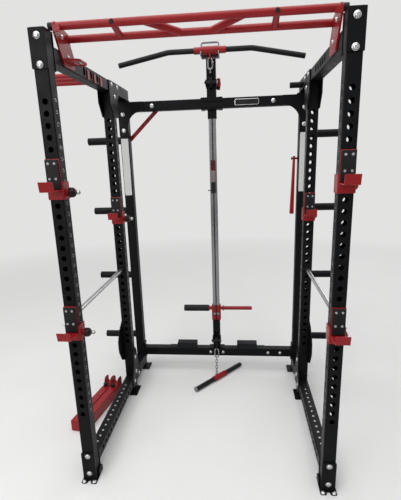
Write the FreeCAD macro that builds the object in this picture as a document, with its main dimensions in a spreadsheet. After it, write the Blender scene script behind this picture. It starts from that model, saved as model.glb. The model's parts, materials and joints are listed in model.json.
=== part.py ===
import FreeCAD, Part
import math
import os

import Sketcher
from FreeCAD import Placement, Rotation, Vector

# Power cage with a rear lat tower.  +X is to the right, +Y to the back, +Z up.  The origin is on the floor under
# the middle of the whole object's box.  Lengths are millimetres.

SIZES = {
    # square tube frame
    "rack_width": 1230, "rack_height": 2050, "tube": 60, "tube_wall": 3, "tube_corner": 5,
    "cage_depth": 800, "lat_depth": 1110, "lat_drop": 50, "plate": 6, "plate_margin": 3,
    "beam_drop": 80, "rail_level": 91, "top_member_drop": 153, "low_member_level": 150,
    # hole rows
    "hole_pitch": 45.5, "hole_first": 378.5, "hole_count": 32, "hole_radius": 11.5,
    "pin_hole_radius": 5.5, "pin_row_lift": 8, "rail_hole_first": 133, "rail_hole_count": 13,
    "slot_first": 384.5, "slot_count": 6, "slot_width": 24, "slot_height": 36,
    # bolts
    "bolt_radius": 8, "bolt_clearance": 0.25, "bolt_head_radius": 13.5, "bolt_head_height": 7,
    "end_plate_height": 144, "top_bolt_drop": 130, "top_bolt_pitch": 102, "foot_bolt_level": 41,
    "foot_bolt_pitch": 100, "rail_plate_top": 160,
    "side_bolt_inset": 16, "tie_bolt_inset": 34, "beam_bolt_lift": 10, "upright_bolt_set": 30,
    "upright_bolt_drop": 130, "upright_bolt_low": 141, "upright_bolt_pitch": 108,
    # feet
    "foot_width": 78, "foot_overhang": 29, "anchor_reach": 18, "anchor_spread": 25, "anchor_radius": 6,
    "anchor_head_radius": 11,
    "tab_length": 50, "tab_height": 43, "tab_start": 25, "inner_foot_reach": 23, "lat_foot_reach": 32,
    "rear_foot_front": 55, "lat_foot_front": 10,
    # joint plates of the rear uprights
    "arm_front": 58, "arm_height": 62, "leg_drop": 244, "leg_width": 85, "arm_end_gap": 5, "arm_slope": 60,
    "low_arm_front": 58, "low_leg_top": 305, "low_leg_width": 72, "guard_top": 524, "guard_bottom": 240,
    "guard_bulge": 90,
    # rear crossmembers
    "gusset_reach": 107, "gusset_radius": 98, "gusset_drop": 152, "post_bolt_drop": 17,
    "post_bolt_pitch": 100, "member_bolt_x": 390, "low_bolt_x": 379, "low_bolt_pitch": 87,
    "low_bolt_inner_x": 46, "low_bolt_head": 11,
    "flange_height": 132, "flange_bolt_pitch": 100, "badge_x": 147, "badge_length": 153, "badge_height": 38,
    "badge_thickness": 2, "block_x": 150, "block_length": 147, "block_height": 42, "block_corner": 5,
    "block_base": 3, "block_base_length": 60,
    # pull-up bar
    "grip_radius": 15, "front_grip_y": 95, "front_grip_rise": 28, "front_grip_overhang": 575,
    "rear_grip_y": 208, "rear_grip_rise": 10, "brace_x": 318, "bent_outer_x": 195, "bent_inner_x": 62,
    "bracket": 8, "flange_set": 20, "bracket_drop": 25, "bracket_back": 254, "bracket_waist": 150,
    "bracket_front_edge": 30,
    "eye_front": 143, "eye_back": 290, "eye_reach": 67, "eye_slot": 78,
    "eye_slot_radius": 13, "bracket_bolt_y": 190, "bracket_top_bolt_y": 142,
    "bracket_bolt_rise": 2,
    # storage
    "peg_radius": 24, "peg_length": 230, "peg_wall": 3, "peg_y": 30, "peg_drop": 360, "peg_pitch": 470,
    "peg_count": 4,
    "side_tube_radius": 11.5, "side_tube_reach": 185, "side_tube_clearance": 0.3,
    "side_flange": 5, "side_flange_height": 46, "side_flange_width": 25,
    "inner_peg_radius": 16.5, "inner_peg_length": 72, "inner_peg_y": 1000, "inner_peg_drop": 87,
    # safety rods
    "rod_clearance": 0.1, "rod_level_hole": 11, "rod_inset": 5, "rod_end_past": 10,
    # bar cups
    "cup_plate": 5, "cup_fold": 3, "cup_clearance": 0.5, "cup_rise": 138, "cup_drop": 27, "lip_top": 50,
    "floor_level": 9, "cup_corner": 7,
    "upper_lip_reach": 90, "lower_lip_reach": 101, "cup_side_depth": 56, "cup_side_top": 46, "liner": 10,
    "liner_margin": 3, "upper_cup_hole": 23, "lower_cup_hole": 9, "rear_cup_hole": 18, "boss_radius": 15,
    "boss_length": 12, "pin_radius": 5.4, "pin_tip_x": 14, "knob_radius": 21, "knob_length": 28,
    "ball_radius": 10, "ball_neck": 8, "pin_head_radius": 9, "pin_head_length": 5,
    # lat tower
    "column_rise": 144, "saddle_half": 70, "saddle_margin": 6, "saddle_lip": 24, "saddle_bolt_x": 57,
    "socket_height": 55, "rail_width": 48, "rail_depth": 36, "rail_y": 40, "slide_clearance": 0.5,
    "lower_column_width": 52, "lower_column_rise": 149, "cable_radius": 3, "cable_y": 10.5,
    "cable_hole_radius": 7, "pulley_radius": 35, "pulley_width": 14, "pulley_run": 31, "pulley_drop": 33,
    "low_pulley_radius": 29, "low_pulley_run": 25, "low_pulley_z": 250, "axle_radius": 6,
    "axle_clearance": 0.05, "hub_wall": 4, "hub_gap": 0.3, "cheek": 5, "cheek_margin": 8,
    "groove_clearance": 0.2,
    "pulley_slot_width": 20, "top_slot_drop": 41, "top_slot_rise": 75, "low_slot_drop": 50,
    "low_slot_rise": 70,
    # weight carriage
    "block_wall": 4, "lower_block_height": 41, "upper_block_rise": 58, "upper_block_height": 58,
    "horn_radius": 13.5, "horn_reach": 260, "collar_x": 50, "collar": 6, "collar_radius": 21,
    "sleeve_radius": 23.5, "sleeve_end": 234, "sleeve_fit": 0.05, "horn_rise": 89,
    # lat bar and its holder
    "bar_y": 60, "bar_set": 4, "bar_radius": 15.5, "bar_half": 570, "bar_bend_x": 255, "bar_drop": 60,
    "bar_bend_radius": 160, "bar_core_radius": 23, "bar_core_half": 48, "bar_collar_radius": 20,
    "bar_collar_half": 97, "hook": 8, "hook_gap": 1.5, "seat_clearance": 0.3, "holder_rise": 54,
    "holder_corner": 18, "holder_back_drop": 36, "bar_eye_drop": 42, "bar_eye_radius": 7,
    # links
    "snap_wire": 4, "snap_length": 62, "snap_width": 27, "ring_wire": 3, "ring_length": 22, "ring_width": 18,
    "link_gap": 0.2, "hook_rest": 1.4, "chain_wire": 2.6, "chain_width": 14, "chain_count": 6,
    "end_fitting_radius": 6, "end_fitting_length": 24, "low_lead": 24, "tail_split": 0.3,
    "tail_fitting": 12, "tail_bend": 12,
    "low_leave_angle": 26, "top_leave_angle": 66,
    # cable coupler on the front run
    "coupler_drop": 688, "coupler_height": 216, "coupler_half": 14, "coupler_depth": 28,
    "coupler_back_gap": 4, "coupler_arm": 24, "coupler_arm_radius": 3,
    # loose low bar
    "low_bar_half": 235, "low_bar_radius": 15, "low_core_radius": 19, "low_core_half": 62,
    "low_bar_angle": 50, "low_eye_radius": 10, "low_eye_wire": 2.5,
    # latch lever
    "lever_x": 42, "lever_drop": 25, "lever_pin_radius": 4, "lever_length": 60, "lever_width": 22,
    "lever_thickness": 8, "lever_fit": 0.05, "lever_gap": 0.3,
    # loose spotter arms
    "arm_length": 470, "arm_start": 348, "arm_width": 50, "arm_tall": 70, "arm_gap": 4, "arm_stand_off": 120,
    "arm_angle": 10, "arm_bracket_height": 112, "arm_bracket_length": 62, "arm_knob_radius": 14,
    "arm_knob_height": 22,
    "arm_plug": 4,
    # hanging bar and corner brace
    "hang_peg_radius": 6, "hang_peg_length": 42, "hang_drop": 510, "hang_length": 376, "hang_width": 26,
    "hang_top_width": 13, "hang_depth": 30, "hang_eye_radius": 15, "hang_y": 20, "hang_inset": 18,
    "brace_width": 25, "brace_top_x": 368, "brace_low_x": 565, "brace_top_drop": 19, "brace_low_drop": 205,
}

document = FreeCAD.newDocument("power_cage")
sheet = document.addObject("Spreadsheet::Sheet", "sizes")
for row_number, (alias, value) in enumerate(SIZES.items(), start=1):
    sheet.set(f"A{row_number}", alias.replace("_", " "))
    sheet.set(f"B{row_number}", str(value))
    sheet.setAlias(f"B{row_number}", alias)
document.recompute()


class Size:
    """A length that carries its number and the sheet formula that it comes from."""

    def __init__(self, number, formula):
        self.number = number
        self.formula = formula

    def __float__(self):
        return float(self.number)

    def __add__(self, other):
        return Size(self.number + float(other), f"({self.formula} + {formula_of(other)})")

    def __radd__(self, other):
        return Size(float(other) + self.number, f"({formula_of(other)} + {self.formula})")

    def __sub__(self, other):
        return Size(self.number - float(other), f"({self.formula} - {formula_of(other)})")

    def __rsub__(self, other):
        return Size(float(other) - self.number, f"({formula_of(other)} - {self.formula})")

    def __mul__(self, other):
        return Size(self.number * float(other), f"({self.formula} * {formula_of(other)})")

    __rmul__ = __mul__

    def __truediv__(self, other):
        return Size(self.number / float(other), f"({self.formula} / {formula_of(other)})")

    def __neg__(self):
        return Size(-self.number, f"(0 - {self.formula})")


def formula_of(value):
    """The expression text of a size or of a plain number."""
    return value.formula if isinstance(value, Size) else f"({float(value)})"


class Sheet:
    """Reads a named size from the spreadsheet."""

    def __getattr__(self, alias):
        return Size(float(sheet.get(alias)), f"sizes.{alias}")


d = Sheet()
nodes = []

# ---------------------------------------------------------------------------------------------------------------
# shared places

SIDES = {"left": -1, "right": 1}
front = (d.lower_lip_reach - d.lat_depth - d.tube - d.foot_overhang) / 2
rear = front + d.cage_depth
lat = front + d.lat_depth
post_x = d.rack_width / 2 - d.tube / 2
inner_x = d.rack_width / 2 - d.tube
outer_x = d.rack_width / 2
beam_level = d.rack_height - d.beam_drop
top_member_level = d.rack_height - d.top_member_drop
lat_height = d.rack_height - d.lat_drop
upright_bolt_top = d.rack_height - d.upright_bolt_drop
leg_bottom = d.rack_height - d.leg_drop
front_grip_z = d.rack_height + d.front_grip_rise
rear_grip_z = d.rack_height + d.rear_grip_rise
eye_level = beam_level
bracket_bottom = eye_level - d.bracket_drop
bracket_top_bolt_z = d.rack_height + d.bracket_bolt_rise
peg_top = d.rack_height - d.peg_drop
inner_peg_level = d.rack_height - d.inner_peg_drop
hang_z = d.rack_height - d.hang_drop
pulley_z = d.rack_height - d.pulley_drop
top_slot_bottom = pulley_z - d.top_slot_drop
top_slot_top = pulley_z + d.top_slot_rise
low_slot_bottom = d.low_pulley_z - d.low_slot_drop
low_slot_top = d.low_pulley_z + d.low_slot_rise
lower_column_top = d.low_pulley_z + d.lower_column_rise
upper_block_bottom = lower_column_top + d.upper_block_rise
upper_block_top = upper_block_bottom + d.upper_block_height
horn_z = lower_column_top + d.horn_rise
column_height = d.rack_height + d.column_rise
bar_z = column_height - d.bar_set
holder_top = bar_z + d.holder_rise
holder_back_bottom = bar_z - d.holder_back_drop
lever_z = pulley_z - d.lever_drop
coupler_bottom = pulley_z - d.coupler_drop
bolt_hole = d.bolt_radius + d.bolt_clearance
plate_width = d.tube + 2 * d.plate_margin
beam_top = beam_level + d.tube / 2
tie_start = rear + d.tube
tie_length = d.lat_depth - d.cage_depth - d.tube
beam_start = front + d.tube + d.plate
beam_length = d.cage_depth - d.tube - d.plate
top_bolt_z = d.rack_height - d.top_bolt_drop
member_top = top_member_level + d.tube / 2
member_bottom = top_member_level - d.tube / 2
gusset_leg = member_bottom - d.gusset_drop
post_bolt_top = member_bottom - d.post_bolt_drop
brace_top_z = top_member_level - d.brace_top_drop
brace_low_z = top_member_level - d.brace_low_drop
low_member_top = d.low_member_level + d.tube / 2
member_y = lat + d.tube / 2
cable_y = lat + d.cable_y
pin_row_first = d.hole_first + d.pin_row_lift
pin_y = d.tube / 2


# ---------------------------------------------------------------------------------------------------------------
# document helpers

TURNS = {
    "x": Rotation(Vector(0, 1, 0), 90),
    "y": Rotation(Vector(1, 0, 0), -90),
    "z": Rotation(),
}


def place(item, at, along="z"):
    """Turns an object's own Z axis along a frame axis and binds its corner to three sizes."""
    item.Placement = Placement(Vector(), TURNS[along])
    for letter, value in zip("xyz", at):
        item.setExpression(f"Placement.Base.{letter}", formula_of(value))
    return item


def box(name, size, at):
    item = document.addObject("Part::Box", name)
    for side, value in zip(("Length", "Width", "Height"), size):
        item.setExpression(side, formula_of(value))
    return place(item, at)


def cylinder(name, radius, height, at, along="z"):
    item = document.addObject("Part::Cylinder", name)
    item.setExpression("Radius", formula_of(radius))
    item.setExpression("Height", formula_of(height))
    return place(item, at, along)


def cone(name, radius, end_radius, height, at, along="z"):
    item = document.addObject("Part::Cone", name)
    item.setExpression("Radius1", formula_of(radius))
    item.setExpression("Radius2", formula_of(end_radius))
    item.setExpression("Height", formula_of(height))
    return place(item, at, along)


def sphere(name, radius, at):
    item = document.addObject("Part::Sphere", name)
    item.setExpression("Radius", formula_of(radius))
    return place(item, at)


def fuse(name, *pieces):
    item = document.addObject("Part::MultiFuse", name)
    item.Shapes = list(pieces)
    item.Refine = True
    return item


def cut(name, base, *tools):
    item = document.addObject("Part::Cut", name)
    item.Base = base
    item.Tool = tools[0] if len(tools) == 1 else fuse(name + "_tools", *tools)
    item.Refine = True
    return item


def group(name, pieces):
    item = document.addObject("Part::Compound", name)
    item.Links = list(pieces)
    return item


def feature(name, shape):
    item = document.addObject("Part::Feature", name)
    item.Shape = shape
    return item


def node(item):
    """Marks an object as a sub-part that is written to its own file."""
    nodes.append(item)
    return item


# ---------------------------------------------------------------------------------------------------------------
# shapes with rounded outlines and bent rods, worked out from the same sizes


def point(*values):
    return Vector(*[float(value) for value in values])


def rounded_edges(corners, closed):
    """Straight edges joined by tangent arcs through a list of (place, radius)."""
    count = len(corners)
    entries = []
    for number, (corner, radius) in enumerate(corners):
        if radius and (closed or 0 < number < count - 1):
            back = (corners[number - 1][0] - corner).normalize()
            ahead = (corners[(number + 1) % count][0] - corner).normalize()
            half_angle = back.getAngle(ahead) / 2
            reach = float(radius) / math.tan(half_angle)
            middle = (back + ahead).normalize()
            centre = corner + middle * (float(radius) / math.sin(half_angle))
            entries.append((corner + back * reach, centre - middle * float(radius), corner + ahead * reach))
        else:
            entries.append((corner, None, corner))
    edges = []
    for number, (start, middle, end) in enumerate(entries):
        if middle is not None:
            edges.append(Part.Arc(start, middle, end).toShape())
        if closed or number < count - 1:
            following = entries[(number + 1) % count][0]
            if following.distanceToPoint(end) > 0.001:
                edges.append(Part.LineSegment(end, following).toShape())
    return edges


PLANES = {"xy": (0, 1, 2), "xz": (0, 2, 1), "yz": (1, 2, 0)}


def on_plane(plane, across, up, depth):
    values = [0, 0, 0]
    for index, value in zip(PLANES[plane], (across, up, depth)):
        values[index] = float(value)
    return Vector(*values)


def plate_shape(plane, start, thickness, corners, holes=()):
    """A flat plate: corners are (across, up) or (across, up, radius), holes are (across, up, radius)."""
    places = [(on_plane(plane, c[0], c[1], start), c[2] if len(c) > 2 else 0) for c in corners]
    face = Part.Face(Part.Wire(Part.__sortEdges__(rounded_edges(places, True))))
    normal = on_plane(plane, 0, 0, thickness)
    solid = face.extrude(normal)
    for across, up, radius in holes:
        centre = on_plane(plane, across, up, start)
        solid = solid.cut(Part.makeCylinder(float(radius), float(thickness), centre, normal))
    return solid


def slot_shape(plane, start, thickness, low, high, radius):
    """A straight round-ended slot between two (across, up) centres."""
    normal = on_plane(plane, 0, 0, thickness)
    first = on_plane(plane, low[0], low[1], start)
    last = on_plane(plane, high[0], high[1], start)
    way = (last - first).normalize()
    side = way.cross(on_plane(plane, 0, 0, 1)) * float(radius)
    corners = [first + side, last + side, last - side, first - side, first + side]
    middle = Part.Face(Part.makePolygon(corners)).extrude(normal)
    ends = [Part.makeCylinder(float(radius), float(thickness), place_, normal) for place_ in (first, last)]
    return middle.fuse(ends).removeSplitter()


def rod_shape(corners, radius):
    """A round rod that follows straight runs joined by tangent arcs."""
    edges = rounded_edges(corners, False)
    path = Part.Wire(edges)
    start = corners[0][0]
    circle = Part.Wire([Part.Circle(start, corners[1][0] - start, float(radius)).toShape()])
    return path.makePipeShell([circle], True, False)


def link_shape(centre, way, side, length, width, wire):
    """A closed oval link: length and width are its wire's centre line."""
    way = Vector(way).normalize()
    side = Vector(side).normalize()
    half = float(width) / 2
    run = way * (float(length) / 2 - half)
    parts = []
    for sign in (1, -1):
        end = centre + run * sign
        torus = Part.makeTorus(half, float(wire), end, way.cross(side))
        keep = Part.makeCylinder(half + 2 * float(wire), half + 2 * float(wire), end, way * sign)
        parts.append(torus.common(keep))
        straight = centre + side * (half * sign) - run
        if run.Length > 0.01:
            parts.append(Part.makeCylinder(float(wire), 2 * run.Length, straight, way))
    return parts[0].fuse(parts[1:]).removeSplitter()


# ---------------------------------------------------------------------------------------------------------------
# square tubes, drawn as sketches in a body of their own


def plane_of(body, role):
    return next(part for part in body.Origin.OriginFeatures if part.Role == role)


def new_sketch(body, name, role):
    sketch = body.newObject("Sketcher::SketchObject", name)
    sketch.AttachmentSupport = [(plane_of(body, role), "")]
    sketch.MapMode = "FlatFace"
    return sketch


def bind_distance(sketch, kind, geometry, value):
    number = sketch.addConstraint(Sketcher.Constraint(kind, *geometry, float(value)))
    sketch.setExpression(f"Constraints[{number}]", formula_of(value))


def draw_rectangle(sketch, width, height):
    """A rectangle centred on the sketch's origin."""
    across = float(width) / 2
    up = float(height) / 2
    corners = [point(-across, -up, 0), point(across, -up, 0), point(across, up, 0), point(-across, up, 0)]
    first = sketch.GeometryCount
    for number in range(4):
        sketch.addGeometry(Part.LineSegment(corners[number], corners[(number + 1) % 4]), False)
    for number in range(4):
        following = first + (number + 1) % 4
        sketch.addConstraint(Sketcher.Constraint("Coincident", first + number, 2, following, 1))
        kind = "Horizontal" if number % 2 == 0 else "Vertical"
        sketch.addConstraint(Sketcher.Constraint(kind, first + number))
    sketch.addConstraint(Sketcher.Constraint("Symmetric", first, 1, first + 2, 1, -1, 1))
    bind_distance(sketch, "DistanceX", (first, 1, first, 2), width)
    bind_distance(sketch, "DistanceY", (first + 1, 1, first + 1, 2), height)


def draw_circle(sketch, across, up, radius):
    number = sketch.GeometryCount
    sketch.addGeometry(Part.Circle(point(across, up, 0), Vector(0, 0, 1), float(radius)), False)
    bind_distance(sketch, "Radius", (number,), radius)
    bind_distance(sketch, "DistanceX", (-1, 1, number, 3), across)
    bind_distance(sketch, "DistanceY", (-1, 1, number, 3), up)


def draw_slot(sketch, across, up, width, height):
    """An upright round-ended slot: its sides are vertical in the sketch."""
    half = float(width) / 2
    run = float(height) / 2 - half
    x, y = float(across), float(up)
    first = sketch.GeometryCount
    sketch.addGeometry(Part.LineSegment(point(x - half, y + run, 0), point(x - half, y - run, 0)), False)
    sketch.addGeometry(Part.LineSegment(point(x + half, y - run, 0), point(x + half, y + run, 0)), False)
    low = Part.Circle(point(x, y - run, 0), Vector(0, 0, 1), half)
    high = Part.Circle(point(x, y + run, 0), Vector(0, 0, 1), half)
    sketch.addGeometry(Part.ArcOfCircle(low, math.pi, 2 * math.pi), False)
    sketch.addGeometry(Part.ArcOfCircle(high, 0, math.pi), False)
    for one, end, other, other_end in ((0, 2, 2, 1), (1, 1, 2, 2), (1, 2, 3, 1), (0, 1, 3, 2)):
        joint = Sketcher.Constraint("Tangent", first + one, end, first + other, other_end)
        sketch.addConstraint(joint)
    bind_distance(sketch, "Radius", (first + 2,), width / 2)
    bind_distance(sketch, "DistanceY", (first + 2, 3, first + 3, 3), height - width)
    bind_distance(sketch, "DistanceX", (-1, 1, first + 2, 3), across)
    bind_distance(sketch, "DistanceY", (-1, 1, first + 2, 3), up - (height - width) / 2)


class HoleRow:
    """A row of holes through both walls: face is front (along the tube's Y) or side (along its X)."""

    def __init__(self, face, radius, first, pitch=0, count=1, across=0, slot=None):
        self.face = face
        self.radius = radius
        self.first = first
        self.pitch = pitch
        self.count = count
        self.across = across
        self.slot = slot


def steel_tube(name, length, at, along="z", rows=(), width=None, depth=None):
    """A square or flat tube of the frame's wall, with rows of holes cut through it."""
    width = d.tube if width is None else width
    depth = d.tube if depth is None else depth
    body = document.addObject("PartDesign::Body", name)
    section = new_sketch(body, name + "_section", "XY_Plane")
    draw_rectangle(section, width, depth)
    pad = body.newObject("PartDesign::Pad", name + "_pad")
    pad.Profile = section
    pad.setExpression("Length", formula_of(length))
    document.recompute()
    rounds = body.newObject("PartDesign::Fillet", name + "_rounds")
    upright = [
        f"Edge{number}"
        for number, edge in enumerate(pad.Shape.Edges, start=1)
        if abs(edge.tangentAt(edge.FirstParameter).z) > 0.99
    ]
    rounds.Base = (pad, upright)
    rounds.setExpression("Radius", formula_of(d.tube_corner))
    hollow = new_sketch(body, name + "_hollow", "XY_Plane")
    draw_rectangle(hollow, width - 2 * d.tube_wall, depth - 2 * d.tube_wall)
    bore = body.newObject("PartDesign::Pocket", name + "_bore")
    bore.Profile = hollow
    bore.Type = "ThroughAll"
    bore.SideType = "Symmetric"
    document.recompute()
    for number, row in enumerate(rows):
        sketch = new_sketch(body, f"{name}_row{number}", "XZ_Plane" if row.face == "front" else "YZ_Plane")
        if row.slot is None:
            draw_circle(sketch, row.across, row.first, row.radius)
        else:
            draw_slot(sketch, row.across, row.first, *row.slot)
        holes = body.newObject("PartDesign::Pocket", f"{name}_holes{number}")
        holes.Profile = sketch
        holes.Type = "ThroughAll"
        holes.SideType = "Symmetric"
        if float(row.count) > 1:
            repeat = body.newObject("PartDesign::LinearPattern", f"{name}_repeat{number}")
            repeat.Originals = [holes]
            repeat.Direction = (sketch, ["V_Axis"])
            repeat.Mode = "Spacing"
            repeat.setExpression("Offset", formula_of(row.pitch))
            repeat.setExpression("Occurrences", formula_of(row.count))
            body.Tip = repeat
    return place(body, at, along)


# ---------------------------------------------------------------------------------------------------------------
# bolts: each joint adds its bolts here, and they are written as one group of separate solids

bolts = []


def bolt(start, way, grip, radius=None, head_radius=None):
    """A round-headed bolt and nut: start is under the head, grip is the length held between head and nut."""
    radius = float(d.bolt_radius if radius is None else radius)
    head_radius = float(d.bolt_head_radius if head_radius is None else head_radius)
    height = float(d.bolt_head_height)
    start = point(*start)
    way = Vector(*way)
    head = Part.makeCylinder(head_radius, height, start - way * height, way)
    rim = [edge for edge in head.Edges if (edge.CenterOfMass - (start - way * height)).Length < 0.01]
    head = head.makeFillet(height * 0.45, rim)
    shank = Part.makeCylinder(radius, float(grip) + height, start, way)
    nut_start = start + way * float(grip)
    nut = Part.makeCylinder(head_radius * 0.9, height, nut_start, way)
    bolts.append(head.fuse([shank, nut]).removeSplitter())


def stud(start, way, length, radius, head_radius):
    """A round-headed screw that ends inside the part it holds: start is under the head."""
    height = float(d.bolt_head_height)
    start = point(*start)
    way = Vector(*way)
    head = Part.makeCylinder(float(head_radius), height, start - way * height, way)
    rim = [edge for edge in head.Edges if (edge.CenterOfMass - (start - way * height)).Length < 0.01]
    head = head.makeFillet(height * 0.45, rim)
    if float(length):
        head = head.fuse(Part.makeCylinder(float(radius), float(length), start, way)).removeSplitter()
    bolts.append(head)


# ---------------------------------------------------------------------------------------------------------------
# cage frame


def upright_rows():
    """The bar-hole row through front and back, and the pin-hole row through the sides."""
    return [
        HoleRow("front", d.hole_radius, d.hole_first - d.plate, d.hole_pitch, d.hole_count),
        HoleRow("side", d.pin_hole_radius, pin_row_first - d.plate, d.hole_pitch, d.hole_count),
    ]


def make_front_uprights():
    for name, side in SIDES.items():
        rows = upright_rows() + [
            HoleRow("front", bolt_hole, top_bolt_z - d.plate, d.top_bolt_pitch, 2),
            HoleRow("front", bolt_hole, d.foot_bolt_level - d.plate, d.foot_bolt_pitch, 2),
        ]
        at = (side * post_x, front + d.tube / 2, d.plate)
        node(steel_tube(f"front_upright_{name}", d.rack_height - d.plate, at, "z", rows))
        grip = d.tube + 2 * d.plate
        for level in (top_bolt_z, top_bolt_z + d.top_bolt_pitch):
            bolt((side * post_x, front - d.plate, level), (0, 1, 0), grip)
        for level in (d.foot_bolt_level, d.foot_bolt_level + d.foot_bolt_pitch):
            bolt((side * post_x, front - d.plate, level), (0, 1, 0), grip)


def make_rear_uprights():
    for name, side in SIDES.items():
        rows = upright_rows() + [
            HoleRow("side", bolt_hole, upright_bolt_top - d.plate),
            HoleRow("side", bolt_hole, d.upright_bolt_low - d.plate, d.upright_bolt_pitch, 2),
        ]
        at = (side * post_x, rear + d.tube / 2, d.plate)
        node(steel_tube(f"rear_upright_{name}", beam_top - d.plate, at, "z", rows))


def make_lat_posts():
    low_bolt = d.low_member_level - d.flange_bolt_pitch / 2
    for name, side in SIDES.items():
        rows = [
            HoleRow("front", bolt_hole, post_bolt_top - d.post_bolt_pitch - d.plate, d.post_bolt_pitch, 2),
            HoleRow("side", bolt_hole, low_bolt - d.plate, d.flange_bolt_pitch, 2),
        ]
        at = (side * post_x, member_y, d.plate)
        node(steel_tube(f"lat_post_{name}", lat_height - d.plate, at, "z", rows))
        for level in (post_bolt_top, post_bolt_top - d.post_bolt_pitch):
            bolt((side * post_x, lat - d.plate, level), (0, 1, 0), d.tube + d.plate)
        for level in (low_bolt, low_bolt + d.flange_bolt_pitch):
            bolt((side * outer_x, member_y, level), (-side, 0, 0), d.tube + d.plate)


def end_plate(name, side, bottom, height, bolt_levels):
    """A plate welded on a beam's front end, bolted through the upright."""
    blank = box(name + "_blank", (plate_width, d.plate, height),
                (side * post_x - plate_width / 2, front + d.tube, bottom))
    holes = [
        cylinder(f"{name}_hole{number}", bolt_hole, d.plate, (side * post_x, front + d.tube, level), "y")
        for number, level in enumerate(bolt_levels)
    ]
    return cut(name, blank, *holes)


def make_beams_and_rails():
    for name, side in SIDES.items():
        slots = HoleRow("side", None, d.slot_first - d.tube - d.plate, d.hole_pitch, d.slot_count,
                        slot=(d.slot_height, d.slot_width))
        beam_rows = [HoleRow("side", bolt_hole, beam_length - d.side_bolt_inset, across=-d.beam_bolt_lift)]
        tube = steel_tube(f"top_beam_{name}_tube", beam_length, (side * post_x, beam_start, beam_level),
                          "y", beam_rows)
        slot_tools = []
        for number in range(int(float(d.slot_count))):
            y = front + d.slot_first + number * d.hole_pitch
            shape = slot_shape("yz", -float(d.tube), 2 * d.tube,
                               (y, beam_level - (d.slot_height - d.slot_width) / 2),
                               (y, beam_level + (d.slot_height - d.slot_width) / 2), d.slot_width / 2)
            shape.translate(point(side * post_x, 0, 0))
            slot_tools.append(shape)
        slotted = cut(f"top_beam_{name}_slotted", tube,
                      feature(f"top_beam_{name}_slots", Part.makeCompound(slot_tools)))
        top_plate = end_plate(f"top_beam_{name}_plate", side, d.rack_height - d.end_plate_height,
                              d.end_plate_height, (top_bolt_z, top_bolt_z + d.top_bolt_pitch))
        node(fuse(f"top_beam_{name}", slotted, top_plate))
        rail_first = d.rail_hole_first - d.tube - d.plate
        rail_rows = [
            HoleRow("front", d.pin_hole_radius, rail_first, d.hole_pitch, d.rail_hole_count),
            HoleRow("side", d.hole_radius, rail_first, d.hole_pitch, d.rail_hole_count),
            HoleRow("side", bolt_hole, beam_length - d.side_bolt_inset),
        ]
        rail = steel_tube(f"base_rail_{name}_tube", beam_length, (side * post_x, beam_start, d.rail_level),
                          "y", rail_rows)
        rail_plate = end_plate(f"base_rail_{name}_plate", side, d.plate, d.rail_plate_top - d.plate,
                               (d.foot_bolt_level, d.foot_bolt_level + d.foot_bolt_pitch))
        node(fuse(f"base_rail_{name}", rail, rail_plate))


def make_rear_ties():
    ties = []
    for name, side in SIDES.items():
        for level_name, level, lift in (("top", beam_level, d.beam_bolt_lift), ("base", d.rail_level, 0)):
            rows = [HoleRow("side", bolt_hole, d.tie_bolt_inset, across=-lift)]
            at = (side * post_x, tie_start, level)
            ties.append(steel_tube(f"{level_name}_tie_{name}", tie_length, at, "y", rows))
    node(group("rear_ties", ties))


def make_front_top_plates():
    plates = []
    for name, side in SIDES.items():
        corner = 3
        half = plate_width / 2
        bottom = d.rack_height - d.end_plate_height
        outline = [
            (side * post_x - half, bottom, corner), (side * post_x + half, bottom, corner),
            (side * post_x + half, d.rack_height, corner), (side * post_x - half, d.rack_height, corner),
        ]
        holes = [(side * post_x, top_bolt_z + n * d.top_bolt_pitch, bolt_hole) for n in (0, 1)]
        plates.append(feature(f"front_top_plate_{name}",
                              plate_shape("xz", front - d.plate, d.plate, outline, holes)))
    node(group("front_top_plates", plates))


def front_foot(name, side):
    """Front foot: an upright plate, a floor flange with two anchor ears and an upright slotted tab inside."""
    x = side * post_x
    half = plate_width / 2
    wide = d.foot_width / 2
    holes = [(x, d.foot_bolt_level + n * d.foot_bolt_pitch, bolt_hole) for n in (0, 1)]
    upright_plate = plate_shape("xz", front - d.plate, d.plate, [
        (x - half, 0), (x + half, 0), (x + half, d.rail_plate_top, 4), (x - half, d.rail_plate_top, 4)], holes)
    ear = d.foot_width / 2 - d.anchor_spread
    nose = front - d.foot_overhang
    valley = front - d.plate - 5
    flange = plate_shape("xy", 0, d.plate, [
        (x - wide, beam_start), (x - wide, nose, 8), (x - d.anchor_spread + ear, nose, 8),
        (x - 6, valley, 5), (x + 6, valley, 5), (x + d.anchor_spread - ear, nose, 8),
        (x + wide, nose, 8), (x + wide, beam_start)],
        [(x + n * d.anchor_spread, front - d.anchor_reach, d.anchor_radius + d.bolt_clearance) for n in (-1, 1)])
    tab_face = side * (inner_x - d.plate_margin) - (d.plate if side > 0 else 0)
    tab_low = front + d.tab_start
    tab_high = tab_low + d.tab_length
    tab = plate_shape("yz", tab_face, d.plate, [
        (tab_low, 0), (tab_high, 0), (tab_high, d.tab_height, 20), (tab_low, d.tab_height, 20)],
        [((tab_low + tab_high) / 2 + d.tab_length / 5, d.tab_height / 2, 6)])
    for n in (-1, 1):
        stud((x + n * d.anchor_spread, front - d.anchor_reach, d.plate), (0, 0, -1), d.plate,
             d.anchor_radius, d.anchor_head_radius)
    return feature(name, upright_plate.fuse([flange, tab]).removeSplitter())


def floor_flange(name, side, reach, start, end):
    """Rear foot: a flat floor flange that reaches inwards past its post."""
    low = side * (inner_x - reach)
    high = side * (outer_x + d.plate_margin)
    return feature(name, plate_shape("xy", 0, d.plate, [
        (low, start, 8), (high, start, 4), (high, end, 4), (low, end, 8)]))


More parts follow.
